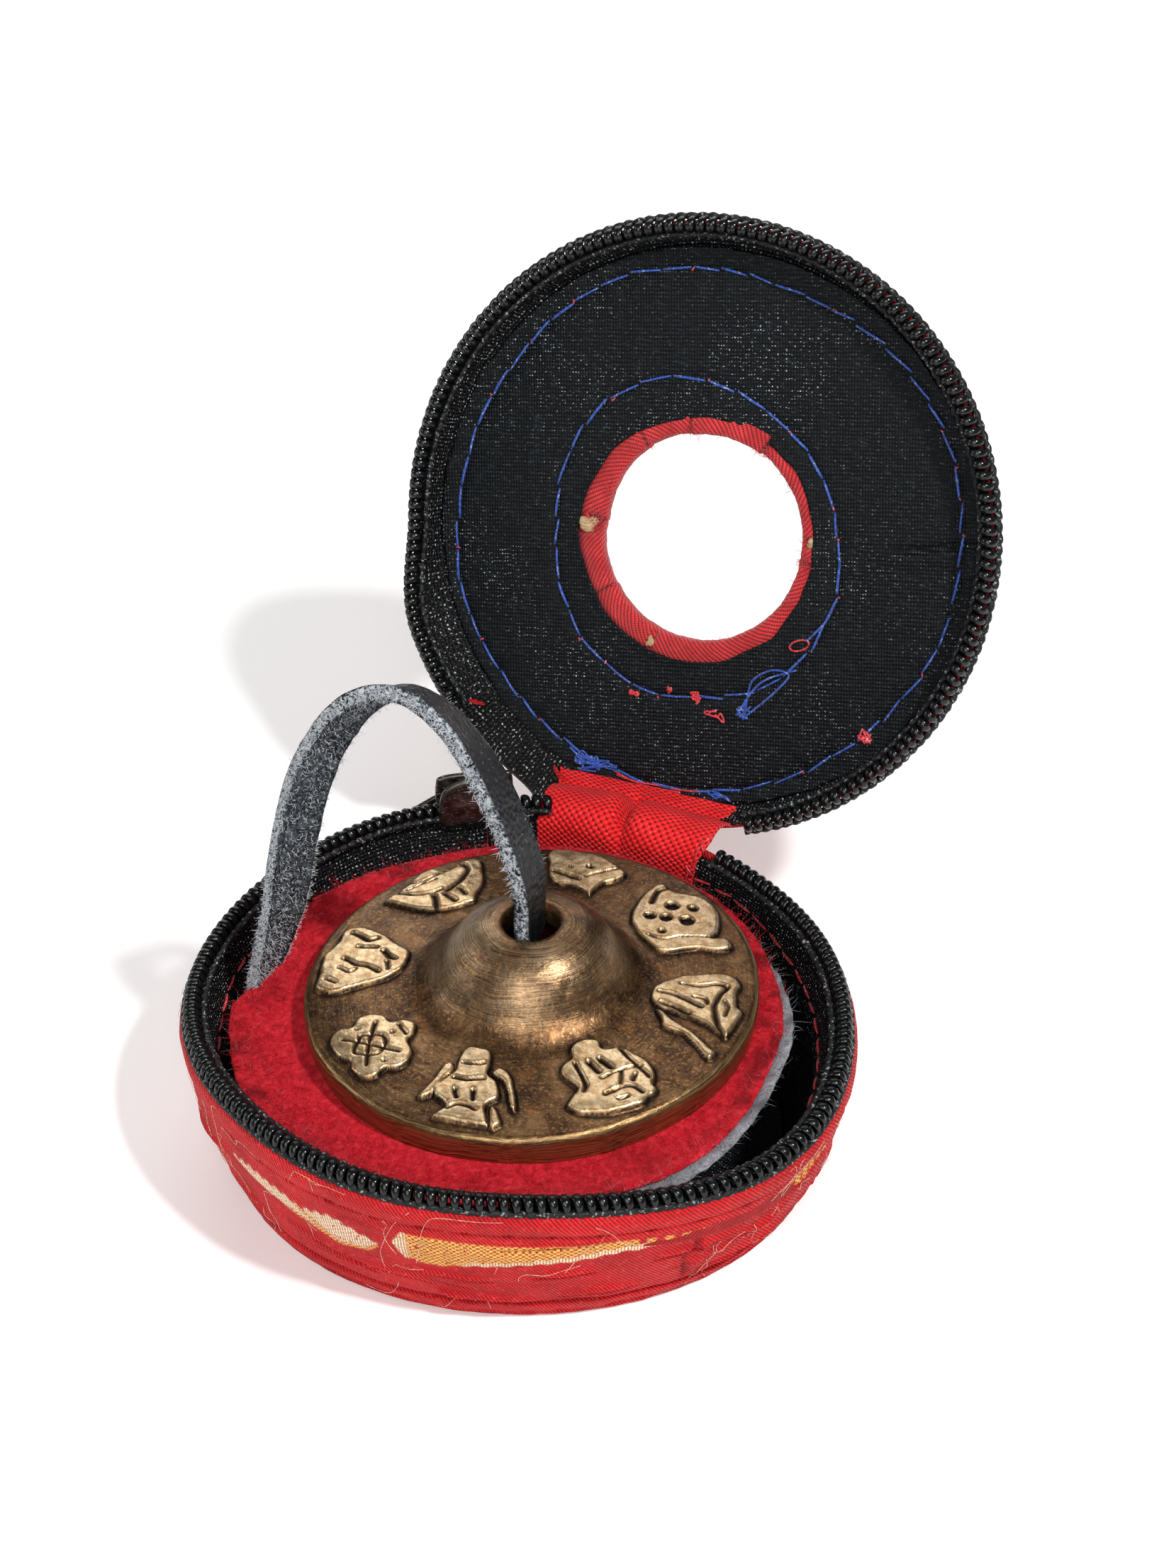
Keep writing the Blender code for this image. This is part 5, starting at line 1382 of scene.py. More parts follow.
def medallions(x, y):
    """The woven pattern of the flat brocade: round flower medallions in offset rows, with cloud curls between."""
    cream, gold = np.zeros(x.shape), np.zeros(x.shape)
    for row in range(-3, 4):
        for col in range(-3, 4):
            cx, cy = 27.0 * (col + 0.5 * (row % 2)), 23.5 * row
            d = np.hypot(x - cx, y - cy)
            a = np.arctan2(y - cy, x - cx)
            petal = 5.6 + 1.5 * np.cos(8 * a)
            gold = np.maximum(gold, smooth(np.abs(d - petal), 0.9, 0.6) + smooth(np.abs(d - 9.2), 0.55, 0.35))
            cream = np.maximum(cream, smooth(d, 2.6, 2.2) * smooth(d, 1.0, 1.3) + smooth(np.abs(d - petal * 0.68), 0.55, 0.35))
            gold = np.maximum(gold, smooth(d, 1.1, 0.9))
            dx, dy = x - cx - 13.5, y - cy
            e, b = np.hypot(dx, dy), np.arctan2(dy, dx)
            curl = np.abs(e - (1.0 + 0.42 * ((b + math.pi) % TAU)))
            gold = np.maximum(gold, smooth(curl, 0.45, 0.25) * (e < 4.2))
    return np.clip(cream, 0, 1), np.clip(gold, 0, 1)


disc("base_floor_brocade", lambda th: foot_r(th) - 3.1, 0.02, 0.55, BROCADE, 130, "brocade_red", "base_floor_cover", rough=0.02)
disc("base_floor_board", lambda th: 0 * th + 38.2, 0.8, 1.4, BOARD, 131, "board_tan", "base_floor_stiffener", rough=0.0)
disc("base_floor_lining_cloth", lambda th: np.minimum(39.4, foot_r(th) - 1.2), 1.6, 1.95, LINING, 132, "lining_black", "base_floor_lining", rough=0.05)


# ---------------------------------------------------------------- lid, laid out shut and then opened
LID_MID = np.array([0, HOLE_Y])


def lid_sheet(name, rows, mat, slot, node, uv_extra=0.0, attrs=None, around=AROUND, uv_plan=False):
    v = np.array(rows)
    n = len(rows)
    q = grid(n, around, True, True)
    if uv_plan:
        corner = v.reshape(-1, 3)[q.ravel()]
        uv = corner[:, :2]
    else:
        along = np.concatenate([np.arange(around), [around]]) * TAU / around * 46.0
        run = np.concatenate([[0], np.cumsum(np.linalg.norm(np.diff(v, axis=0), axis=2).mean(1))])
        uv = grid_uv(along, np.append(run, run[-1] + 1))
    obj = make(name, open_lid(v.reshape(-1, 3)), q, None, (mat,), uv=uv, attrs=attrs)
    return place(obj, "lid", slot, node) if node else place(obj, "lid", slot)


def round_lid(th, degs, values):
    """A value that changes round the lid, from a few of its values."""
    return np.interp(np.degrees(th) % 360, degs, values, period=360)


def outer_seam(th):
    return round_lid(th, [13, 45, 82, 104, 137, 156, 176, 213, 239, 257, 285, 307, 327, 353], [41.8, 41.1, 42.1, 42.3, 42.3, 42.6, 41.2, 40.2, 41.0, 40.2, 39.4, 40.7, 41.6, 41.4])


def inner_seam(th):
    return round_lid(th, [23, 50, 82, 104, 131, 174, 200, 224, 251, 282, 312, 346], [24.0, 25.3, 25.3, 26.6, 26.0, 24.2, 25.6, 26.2, 25.6, 22.9, 21.9, 21.9])


def lining_z(x, y):
    """The face of the lid's lining: puffed between the seams, pulled in along them, creased at one side."""
    x, y = np.asarray(x, float), np.asarray(y, float)
    th, hole_th = np.arctan2(y, x), np.arctan2(y - HOLE_Y, x)
    d_out, d_in = np.hypot(x, y), np.hypot(x, y - HOLE_Y)
    from_outer, from_inner = d_out - outer_seam(th), d_in - inner_seam(hole_th)
    puff = 0.22 + 0.24 * noise2(x, y, 9.0, 142, 3) + 0.14 * noise2(x * 0.7 + y * 0.7, (x - y) * 0.2, 2.6, 143, 2)
    pull = 0.38 * np.exp(-((from_outer / 0.8) ** 2)) + 0.34 * np.exp(-((from_inner / 0.9) ** 2))
    pucker = 0.20 * np.sin(th * 51) * np.exp(-((from_outer / 2.2) ** 2)) + 0.17 * np.sin(hole_th * 28) * np.exp(-((from_inner / 2.0) ** 2))
    fold = y + 3.4 + 0.16 * (x - 34) + 0.5 * np.sin(x / 3.0)
    crease = (0.50 * np.exp(-((fold / 0.55) ** 2)) - 0.30 * np.exp(-(((fold - 1.6) / 1.0) ** 2))) * smooth(x, 27, 33)
    return np.minimum(33.25 - np.clip(puff, -0.05, 0.75) + pull + pucker * 0.6 + crease, 33.55)


def lid_lining():
    edge = round_lid(TH, [16, 48, 79, 100, 113, 156, 185, 230, 285, 330], [44.5, 44.6, 43.5, 43.9, 44.7, 44.3, 43.6, 43.4, 43.0, 44.0])
    edge = np.minimum(edge + 0.40 * noise2(TH * 44 / 4.0, 0, 1, 140, 3), 44.85)
    hole = round_lid(TH, [0, 40, 80, 140, 173, 215, 252, 300, 349], [18.4, 18.8, 19.6, 20.0, 20.4, 19.7, 18.8, 18.4, 18.5]) + 0.45 * noise2(TH * 18 / 4.5, 0, 1, 141, 2)
    face, back = [], []
    for k in np.concatenate([np.linspace(0, 0.12, 8), np.linspace(0.12, 0.86, 66)[1:], np.linspace(0.86, 1.0, 18)[1:]]):
        xy = np.stack([hole * np.cos(TH), HOLE_Y + hole * np.sin(TH)], -1) * (1 - k) + np.stack([edge * np.cos(TH), edge * np.sin(TH)], -1) * k
        x, y = xy[:, 0], xy[:, 1]
        lip = smooth(np.hypot(x, y), edge - 1.8, edge) * (0.35 * noise2(TH * 44 / 4.0, 2, 1, 144, 3) + 0.25) + 0.22 * smooth(np.hypot(x, y - HOLE_Y), hole + 1.2, hole)
        z = lining_z(x, y) - lip
        face.append(np.stack([x, y, z], -1))
        back.append(np.stack([x, y, z + 0.2], -1))
    rows = face + back[::-1]
    return lid_sheet("lid_lining_cloth", rows, LINING, "lining_black", "lid_lining", uv_plan=True)


lid_lining()


def lid_rim(th):
    """The radius of the lid's teeth: the tape flares where it runs to the slider."""
    deg = np.degrees(np.asarray(th, float)) % 360
    return 46.75 + 3.2 * smooth(deg, 172, 150) * (deg > 100) * (deg < 200)


def slider_room(th):
    """One where the shut lid has to clear the slider, else nothing."""
    deg = np.degrees(np.asarray(th, float)) % 360
    return np.exp(-(((deg - 122.5) / 10.5) ** 6))


def lid_tape():
    a, b = np.array([46.5, 28.4]), np.array([44.9, 33.1])
    n = np.array([0.9, 0.435])
    face, back = [], []
    for k in np.linspace(0, 1, 16):
        p = a + (b - a) * k
        bend = 0.15 * noise2(TH * 46 / 8.0, k * 2, 1, 150, 2)
        bend = bend + (lid_rim(TH) - 46.75 + 2.8 * smooth(np.degrees(TH), 142, 128)) * smooth(np.degrees(TH), 103, 112) * (1 - k)
        low, high = p[1] - 0.3 * n[1], p[1] + 0.3 * n[1]
        face.append(polar(p[0] - 0.3 * n[0] + bend, TH, low + slider_room(TH) * (33.5 - low) * 0.98))
        back.append(polar(p[0] + 0.3 * n[0] + bend, TH, high + slider_room(TH) * (33.85 - high) * 0.98))
    inner = polar(41.0, TH, np.full(TH.shape, 33.58))
    inner2 = polar(41.0, TH, np.full(TH.shape, 33.78))
    rows = face + [polar(44.6, TH, np.full(TH.shape, 33.4)), inner, inner2, polar(44.7, TH, np.full(TH.shape, 33.8))] + back[::-1]
    return lid_sheet("lid_tape_knit", rows, TAPE, "tape_black", "lid_zip_tape")


lid_tape()
bag = Bag()
lid_ths = np.arange(base_ths[12] + step / 2, math.radians(430.0), step)
teeth(bag, lid_ths, lid_rim, lambda th: ZT + 0.7, -1.0)
place(bag.done("lid_teeth", (COIL,), move=open_lid), "lid", "coil_black", "lid_zip_coil")
place(knit_cord("lid_cord_inner", -1.4, 2.3, 0.62, "lid", open_lid, lid_rim, lambda th: ZT + 0.4 + 0 * th, 1.0, 135, 430), "lid", "tape_black")
place(knit_cord("lid_cord_outer", 1.25, 2.6, 0.62, "lid", open_lid, lid_rim, lambda th: ZT + 0.4 + 0 * th, 1.0, 135, 430), "lid", "tape_black")


def lid_outer_place(s):
    th = s / 41.2 + 0.15
    r = float(outer_seam(th))
    x, y = r * math.cos(th), r * math.sin(th)
    return np.array([x, y, float(lining_z(x, y)) - 0.12]), np.array([0, 0, -1.0])


def lid_inner_place(s):
    th = s / 24.4
    r = float(inner_seam(th))
    x, y = r * math.cos(th), HOLE_Y + r * math.sin(th)
    return np.array([x, y, float(lining_z(x, y)) - 0.12]), np.array([0, 0, -1.0])


def lid_stitching(name, fn, rad, seed, node):
    bag = Bag()
    ends = stitches(bag, fn, rad * TAU, 4.9, 0.4, 0.2, seed, 0.22, 0.35)
    obj = place(bag.done(name, (BLUE_THREAD,), move=open_lid), "lid", "thread_blue", node)
    dots = Bag()
    g = np.random.default_rng(seed + 1)
    for p, o in ends:
        if g.uniform() < 0.3:
            c = p + g.normal(size=3) * np.array([0.25, 0.25, 0.0]) + o * 0.05
            k = np.linspace(-1, 1, 4)[:, None]
            d = unit(g.normal(size=3) * np.array([1, 1, 0.1]))
            dots.add(*tube(c + d * k * g.uniform(0.2, 0.45), np.array([0.08, 0.16, 0.16, 0.08]), 5, (0, 0, 1)))
    place(dots.done(name + "_bobbin", (RED_THREAD,), move=open_lid), "lid", "thread_red")
    return obj


lid_stitching("lid_stitches_outer", lid_outer_place, 41.2, 160, "lid_outer_stitching")
lid_stitching("lid_stitches_inner", lid_inner_place, 24.4, 165, "lid_inner_stitching")


def loose_threads(name, mat, slot, strands, seed, rad=0.17):
    """Loose sewing thread on the lining: strands through places on the lid, lying close to the cloth."""
    g = np.random.default_rng(seed)
    bag = Bag()
    for strand in strands:
        pts = []
        for x, y in strand:
            pts.append((x, y, float(lining_z(x, y)) - 0.16 - 0.25 * g.uniform()))
        bag.add(*tube(curve(pts, 7), rad, 6, (0.3, 0.2, 1)))
    place(bag.done(name, (mat,), move=open_lid), "lid", slot)


def tuft(centre, size, count, seed):
    """Strands of a small snarl of thread round a place."""
    g = np.random.default_rng(seed)
    return [[tuple(np.array(centre) + g.normal(size=2) * np.array(size)) for _ in range(6)] for _ in range(count)]


ring_of_thread = [(18.55 + 1.5 * math.cos(a), 15.2 + 0.85 * math.sin(a) - 0.5 * math.cos(a)) for a in np.linspace(0.4, TAU + 0.2, 12)]
loose_threads("lid_blue_loose", BLUE_THREAD, "thread_blue",
              [[(11.6, 27.6), (11.5, 24.6), (12.1, 22.0), (14.9, 19.9), (17.6, 20.2), (16.0, 23.0), (14.1, 25.4), (11.9, 27.9)], [(10.2, 28.3), (13.2, 22.4), (18.6, 19.2)], [(19.5, 14.4), (21.5, 11.6), (22.4, 9.8)],
               [(-16.5, 39.2), (-13.5, 41.0), (-10.6, 41.2), (-7.5, 41.4)]] + tuft((-12.6, 40.6), (1.7, 0.6), 6, 175) + tuft((11.8, 27.4), (0.8, 0.7), 2, 176) + tuft((9.5, 41.6), (1.2, 0.4), 2, 179), 177)
loose_threads("lid_red_loose", RED_THREAD, "thread_red",
              [ring_of_thread, [(-8.6, 41.5), (-5.0, 42.3), (-1.3, 42.2), (2.4, 42.2), (5.9, 41.7)], [(-8.0, 42.0), (-3.0, 42.7), (3.0, 42.5)]] + tuft((3.2, 26.8), (0.5, 0.7), 4, 185)
              + tuft((7.0, 29.0), (0.9, 0.7), 2, 186) + tuft((-1.4, 26.5), (0.35, 0.3), 2, 187) + tuft((31.4, 27.2), (0.6, 0.5), 4, 188) + tuft((-7.0, 28.3), (0.5, 0.4), 2, 189), 178, 0.15)

# The binding is five strips of twill side by side round the hole, with bare board at two of the gaps.
STRIPS = ((2, 143, 0.0, 0.0), (143, 179, 0.30, -0.20), (179, 230, -0.15, 0.10), (230, 256, 0.35, -0.15), (256, 297, -0.20, -0.30), (297, 362, 0.30, 0.05))
NICKS = ((176.0, 5.0), (352.0, 3.0), (108.0, 2.0))


def lid_binding():
    """Red twill strips turned over the cut edge of the lid's hole, tucked under the lining and frayed where they meet."""
    around = 720
    th = np.arange(around) * TAU / around
    deg = np.degrees(th)
    shift, rise, seam = np.zeros(around), np.zeros(around), np.zeros(around)
    for a, b, dr, dz in STRIPS:
        u = ((deg - a) % 360) / (b - a)
        on = u < 1
        shift = np.where(on, dr + 0.55 * (u - 0.5) * (-1 if dr > 0 else 1), shift)
        rise = np.where(on, dz - 0.25 * (u - 0.5), rise)
        seam = np.maximum(seam, np.exp(-((((deg - a + 180) % 360 - 180) / 0.9) ** 2)))
    gap = np.zeros(around)
    for at, half in NICKS:
        gap = np.maximum(gap, np.exp(-((((deg - at + 180) % 360 - 180) / half) ** 6)))
    wob = 0.22 * noise2(th * 17 / 3.0, 0, 1, 170, 3) + 0.5 * shift
    sec = [(21.4, 33.72), (20.4, 33.55), (19.4, 33.25), (18.5, 33.0), (17.6, 32.85), (16.9, 32.9), (16.45, 33.25), (16.25, 33.9), (16.25, 34.6), (16.4, 35.3), (16.7, 36.0), (17.4, 36.35), (18.6, 36.3), (19.35, 36.1), (19.4, 35.75), (18.4, 35.72), (17.6, 35.5), (17.45, 34.6), (17.6, 33.82), (21.3, 33.84)]
    rows, shade = [], []
    for i, (r, z) in enumerate(sec):
        inner = smooth(r, 20.5, 17.5) * (i < 12)
        rag = inner * (wob + 0.14 * noise2(th * 17 / 0.9, i * 0.8, 1, 171, 2))
        zz = z + (rise + 0.16 * noise2(th * 17 / 1.6, i * 0.6, 1, 172, 2)) * (1 < i < 7) + 0.75 * gap * (1 < i < 6)
        rows.append(np.stack([(r + rag) * np.cos(th), HOLE_Y + (r + rag) * np.sin(th), zz], -1))
        # Dark joints where the strips meet; the two rows tucked under the lining get painted shade.
        shade.append(0.8 * seam * (i < 7) + 0.5 * (i < 2))
    v = np.array(rows)
    n = len(rows)
    along = np.concatenate([th, [TAU]]) * 17.0
    run = np.concatenate([[0], np.cumsum(np.linalg.norm(np.diff(v, axis=0), axis=2).mean(1))])
    obj = make("lid_binding_twill", open_lid(v.reshape(-1, 3)), grid(n, around, True, True), None, (TWILL,), uv=grid_uv(along, np.append(run, run[-1] + 1)), attrs={"shade": np.clip(np.array(shade), 0, 1)})
    place(obj, "lid", "twill_red", "lid_hole_binding")
    g = np.random.default_rng(173)
    count = 420
    ends = np.radians(np.array([2, 143, 179, 230, 256, 297]))
    a = np.where(g.uniform(size=count) < 0.65, ends[g.integers(0, 6, count)] + 0.05 * g.normal(size=count), g.uniform(0, TAU, count))
    r = 16.6 + 1.6 * g.uniform(size=count) ** 1.5
    root = np.stack([r * np.cos(a), HOLE_Y + r * np.sin(a), 32.95 + 0 * a], -1)
    d = np.stack([-0.6 * np.cos(a), -0.6 * np.sin(a), -0.5 + 0 * a], -1) + 0.8 * g.normal(size=(count, 3))
    v2, q2, t2 = fibres(root, d, g.uniform(0.4, 1.6, count), 0.06, 174, 0.6)
    fray = make("lid_binding_fray", open_lid(v2), q2, t2, (RED_THREAD,), outward=False)
    place(fray, "lid", "twill_red")


lid_binding()


def board_nick(name, deg, inner, outer, wide, seed):
    """Bare torn board at the hole's edge, between two strips of the binding."""
    th = math.radians(deg)
    er, et = np.array([math.cos(th), math.sin(th), 0]), np.array([-math.sin(th), math.cos(th), 0])
    k = np.linspace(0, 1, 22)[:, None]
    p = np.array([0, HOLE_Y, 33.35]) + er * (inner + (outer - inner) * k) + et * 0.25 * np.sin(9 * k)
    rad = wide * np.clip(np.sin(math.pi * np.clip(k[:, 0], 0.04, 0.96)), 0, 1) ** 0.35
    v, q, t = tube(p, rad, 14, et, 0.55)
    v = v + 0.16 * noise(v, 0.7, seed, 3)[:, None] * np.array([1, 1, 1.3])
    place(make(name, open_lid(v), q, t, (BOARD,)), "lid", "board_tan")


board_nick("lid_board_nick_a", 176, 17.3, 20.6, 1.15, 180)
board_nick("lid_board_nick_b", 352, 17.4, 18.9, 0.75, 181)
board_nick("lid_board_nick_c", 108, 18.0, 19.6, 0.5, 182)


def lid_board():
    rows = []
    hole = 17.9
    for r, z in ((hole, 33.9), (30, 33.88), (42.7, 33.9), (42.9, 34.2), (42.7, 34.5), (30, 34.52), (hole, 34.5), (hole - 0.1, 34.2)):
        k = (r - hole) / (42.9 - hole)
        rows.append(np.stack([r * np.cos(TH), HOLE_Y * (1 - max(k, 0)) + r * np.sin(TH), np.full(TH.shape, z)], -1))
    return lid_sheet("lid_board_ring", rows, BOARD, "board_tan", "lid_stiffener", uv_plan=True)


lid_board()


def lid_cover():
    """The lid's brocade outside: a flat top with woven medallions, a soft shoulder and a gathered side."""
    a, b = np.array([46.2, 29.3]), np.array([44.9, 32.9])
    d, nrm = unit(b - a), np.array([0.9, 0.435])
    low, up = a + nrm * 0.9 + d * 0.5, b + nrm * 0.95 + d * 0.4
    prof = [(low[0] - 0.35, low[1] + 0.1), (low[0] - 0.1, low[1] - 0.25), (low[0] + 0.3, low[1] - 0.2), (low[0] + 0.55, low[1] + 0.15)]
    for k in np.linspace(0.1, 1, 10):
        q = low + (up - low) * k
        prof.append((q[0] + 0.42 + 0.3 * math.sin(math.pi * k), q[1] + 0.1))
    prof += [(45.7, 34.6), (45.3, 35.1), (44.6, 35.45), (43.6, 35.62)]
    outer = len(prof)
    hole = 18.2
    flat = np.linspace(43.0, hole, 60)
    rows, isflat = [], []
    for i, (r, z) in enumerate(prof):
        side = 4 <= i < outer - 3
        w = (0.28 * noise2(TH * 46 / 4.0, z / 2.0, 1, 190, 2) + 0.16 * noise2(TH * 46 / 1.7, z / 4, 1, 191)) if side else 0.0
        flare = (lid_rim(TH) - 46.75) * smooth(np.degrees(TH), 128, 140) * max(0.0, min(1.0, (13 - i) / 9))
        rows.append(polar(r + w + flare, TH, z + slider_room(TH) * max(0.0, 34.2 + 0.03 * i - z)))
        isflat.append(0.0)
    seam = np.exp(-(((np.arange(outer) - (outer - 3)) / 0.7) ** 2))
    for r in flat:
        k = (r - hole) / (43.6 - hole)
        x, y = r * np.cos(TH), HOLE_Y * (1 - k) + r * np.sin(TH)
        z = 35.62 + 0.12 * noise2(x, y, 9, 192, 3) + 0.05 * noise2(x, y, 2.4, 193, 2) - 0.25 * np.exp(-(((np.hypot(x, y) - 42.4) / 0.5) ** 2)) - 0.25 * np.exp(-(((np.hypot(x, y - HOLE_Y) - 23.3) / 0.5) ** 2))
        rows.append(np.stack([x, y, z], -1))
        isflat.append(1.0)
    under = [(hole - 0.1, 35.3), (30.0, 34.85), (43.2, 34.85), (44.4, 34.5), (45.2, 33.6), (low[0] + 0.0, low[1] + 1.2)]
    for r, z in under:
        k = max(0.0, min(1.0, (43.6 - r) / (43.6 - hole)))
        rows.append(np.stack([r * np.cos(TH), HOLE_Y * k + r * np.sin(TH), z + slider_room(TH) * max(0.0, 34.85 - z)], -1))
        isflat.append(0.0)
    v = np.array(rows)
    cream, gold = medallions(v[..., 0].ravel() - 6.0, v[..., 1].ravel() + 4.0)
    mask = np.repeat(isflat, AROUND)
    deg = np.degrees(np.arctan2(v[..., 1], v[..., 0])).ravel() % 30
    band = (np.repeat((np.arange(len(rows)) > 5) & (np.arange(len(rows)) < outer - 4), AROUND)) * smooth(np.abs(deg - 15), 9, 8)
    shade = np.repeat(np.concatenate([np.where(np.arange(outer) == outer - 4, 0.5, 0.0), np.zeros(len(rows) - outer)]), AROUND)
    along = np.concatenate([TH, [TAU]]) * 46.0
    n = len(rows)
    q = grid(n, AROUND, True, True)
    uv_side = grid_uv(along, np.append(np.concatenate([[0], np.cumsum(np.linalg.norm(np.diff(v, axis=0), axis=2).mean(1))]), 0))
    uv_plan = v.reshape(-1, 3)[q.ravel()][:, :2]
    pick = np.repeat(mask[q[:, 0]] * mask[q[:, 2]], 4)[:, None]
    obj = make("lid_cover_brocade", open_lid(v.reshape(-1, 3)), q, None, (BROCADE,), uv=np.where(pick > 0.5, uv_plan, uv_side),
               attrs={"cream": cream * mask, "gold": np.clip(gold * mask + 0.9 * band, 0, 1), "shade": shade})
    place(obj, "lid", "brocade_red", "lid_cover")
    bag = Bag()
    for rad, mid in ((42.4, 0.0), (23.3, HOLE_Y)):
        def fn(s, rad=rad, mid=mid):
            th = s / rad
            return np.array([rad * math.cos(th), mid + rad * math.sin(th), 35.45]), np.array([0, 0, 1.0])
        stitches(bag, fn, rad * TAU, 3.4, 1.5, 0.2, 195 + int(rad), 0.2, 0.2)
    place(bag.done("lid_cover_stitches", (RED_THREAD,), move=open_lid), "lid", "thread_red")


lid_cover()


# ---------------------------------------------------------------- hinge ribbon
def ribbon():
    """A short red ribbon sewn inside the base's tape and under the lid's lining, pinched once by a stitch."""
    route = [(43.0, 18.2), (43.5, 20.4), (43.9, 22.4), (44.4, 24.3), (45.9, 25.9), (48.8, 26.2), (51.6, 25.2)]
    lid_route = [(45.3, 29.2), (44.4, 30.8), (43.7, 32.0), (42.9, 33.0)]
    lid_pts = open_lid(np.array([[0, y, z] for y, z in lid_route]))
    base_pts = turn_z(np.array([[0, y, z] for y, z in route]), HINGE_AT)
    lid_pts[:, 0] = base_pts[-1, 0] - np.tan(math.radians(HINGE_AT)) * (lid_pts[:, 1] - base_pts[-1, 1])
    spine = curve(np.concatenate([base_pts, lid_pts]), 7)
    t = unit(np.gradient(spine, axis=0))
    across = np.array([math.cos(math.radians(HINGE_AT)), math.sin(math.radians(HINGE_AT)), 0])
    front = unit(np.cross(np.broadcast_to(across, t.shape), t))
    if front[len(front) // 2] @ np.array([0, -1, 1]) < 0:
        front = -front
    cols = np.linspace(0, 1, 100)
    n = len(spine)
    k = np.linspace(0, 1, n)[:, None]
    left = np.interp(k, [0, 0.4, 0.7, 1], [-14.9, -15.5, -16.2, -17.6])
    right = np.interp(k, [0, 0.25, 0.4, 0.7, 1], [10.9, 11.6, 13.0, 13.4, 12.6])
    x = left + (right - left) * cols[None]
    mid = np.interp(k, [0, 1], [-0.9, -3.4])
    pinch = np.exp(-(((x - mid) / 1.5) ** 2)) * np.exp(-(((k - 0.50) / 0.24) ** 2))
    puff = 0.35 + 1.15 * np.sin(math.pi * np.clip(k, 0, 1)) ** 0.8 * (0.72 + 0.28 * np.cos((x - mid) / 13 * math.pi))
    lift = puff - 2.1 * pinch - 0.40 * np.exp(-(((x - mid) / 0.6) ** 2)) * np.sin(math.pi * k)
    lift = lift + 0.20 * noise2(x, k * 22, 4.0, 200, 2) + 0.30 * np.exp(-((((x - mid) * 0.7 + (k - 0.5) * 22) / 2.0) ** 2)) * smooth(np.abs(x - mid), 9, 3) * smooth(np.abs(x - mid), 0.6, 2.0)
    curl = 0.010 * np.maximum(np.abs(x + 1.5) - 11.5, 0) ** 2
    lift = lift - curl * np.sin(math.pi * k)
    x = x - 0.9 * pinch * np.tanh((x - mid) / 2.5)
    face = spine[:, None] + across * x[..., None] + front[:, None] * lift[..., None]
    back = face - front[:, None] * 0.5
    v = np.concatenate([face.reshape(-1, 3), back.reshape(-1, 3)])
    m = n * len(cols)
    q1 = grid(n, len(cols))
    c = len(cols)
    ring = np.concatenate([np.arange(c), np.arange(1, n) * c + c - 1, (n - 1) * c + np.arange(c - 2, -1, -1), np.arange(n - 2, 0, -1) * c])
    ring2 = np.roll(ring, -1)
    sides = np.stack([ring, ring2, ring2 + m, ring + m], -1)
    q = np.concatenate([q1, q1[:, ::-1] + m, sides])
    run = np.concatenate([[0], np.cumsum(np.linalg.norm(np.diff(spine, axis=0), axis=1))])
    pu = np.tile(cols * 28.0, n)
    pv = np.repeat(run, c)
    pu, pv = np.concatenate([pu, pu]), np.concatenate([pv, pv])
    uv = np.stack([pu[q.ravel()], pv[q.ravel()]], -1)
    obj = make("hinge_ribbon_weave", v, q, None, (RIBBON,), uv=uv)
    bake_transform(obj)
    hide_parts("hinge_ribbon")
    return face, front, across, float(run[-1])


ribbon_face, ribbon_front, ribbon_across, ribbon_run = ribbon()


def ribbon_threads():
    """Red thread that sews the ribbon's right end to the tape, and the stitch that pinches its middle."""
    bag = Bag()
    rows, cols = ribbon_face.shape[:2]

    def at(k, u, off):
        i, j = min(rows - 1, int(k * (rows - 1))), min(cols - 1, int(u * (cols - 1)))
        return ribbon_face[i, j] + ribbon_front[i] * off
    lines = [[at(0.44, 0.995, 0.1), at(0.34, 0.97, 0.35), at(0.22, 0.99, 0.15), at(0.12, 0.965, 0.3), at(0.02, 0.985, 0.1)], [at(0.40, 0.95, 0.0), at(0.37, 0.985, 0.4), at(0.33, 1.0, 0.1)], [at(0.2, 0.94, 0.0), at(0.17, 0.98, 0.4), at(0.13, 1.0, 0.1)]]
    for line in lines:
        bag.add(*tube(curve(line, 6), 0.15, 6, (0.3, -0.5, 0.8)))
    place(bag.done("ribbon_sewing", (RED_THREAD,)), "base", "thread_red")


ribbon_threads()


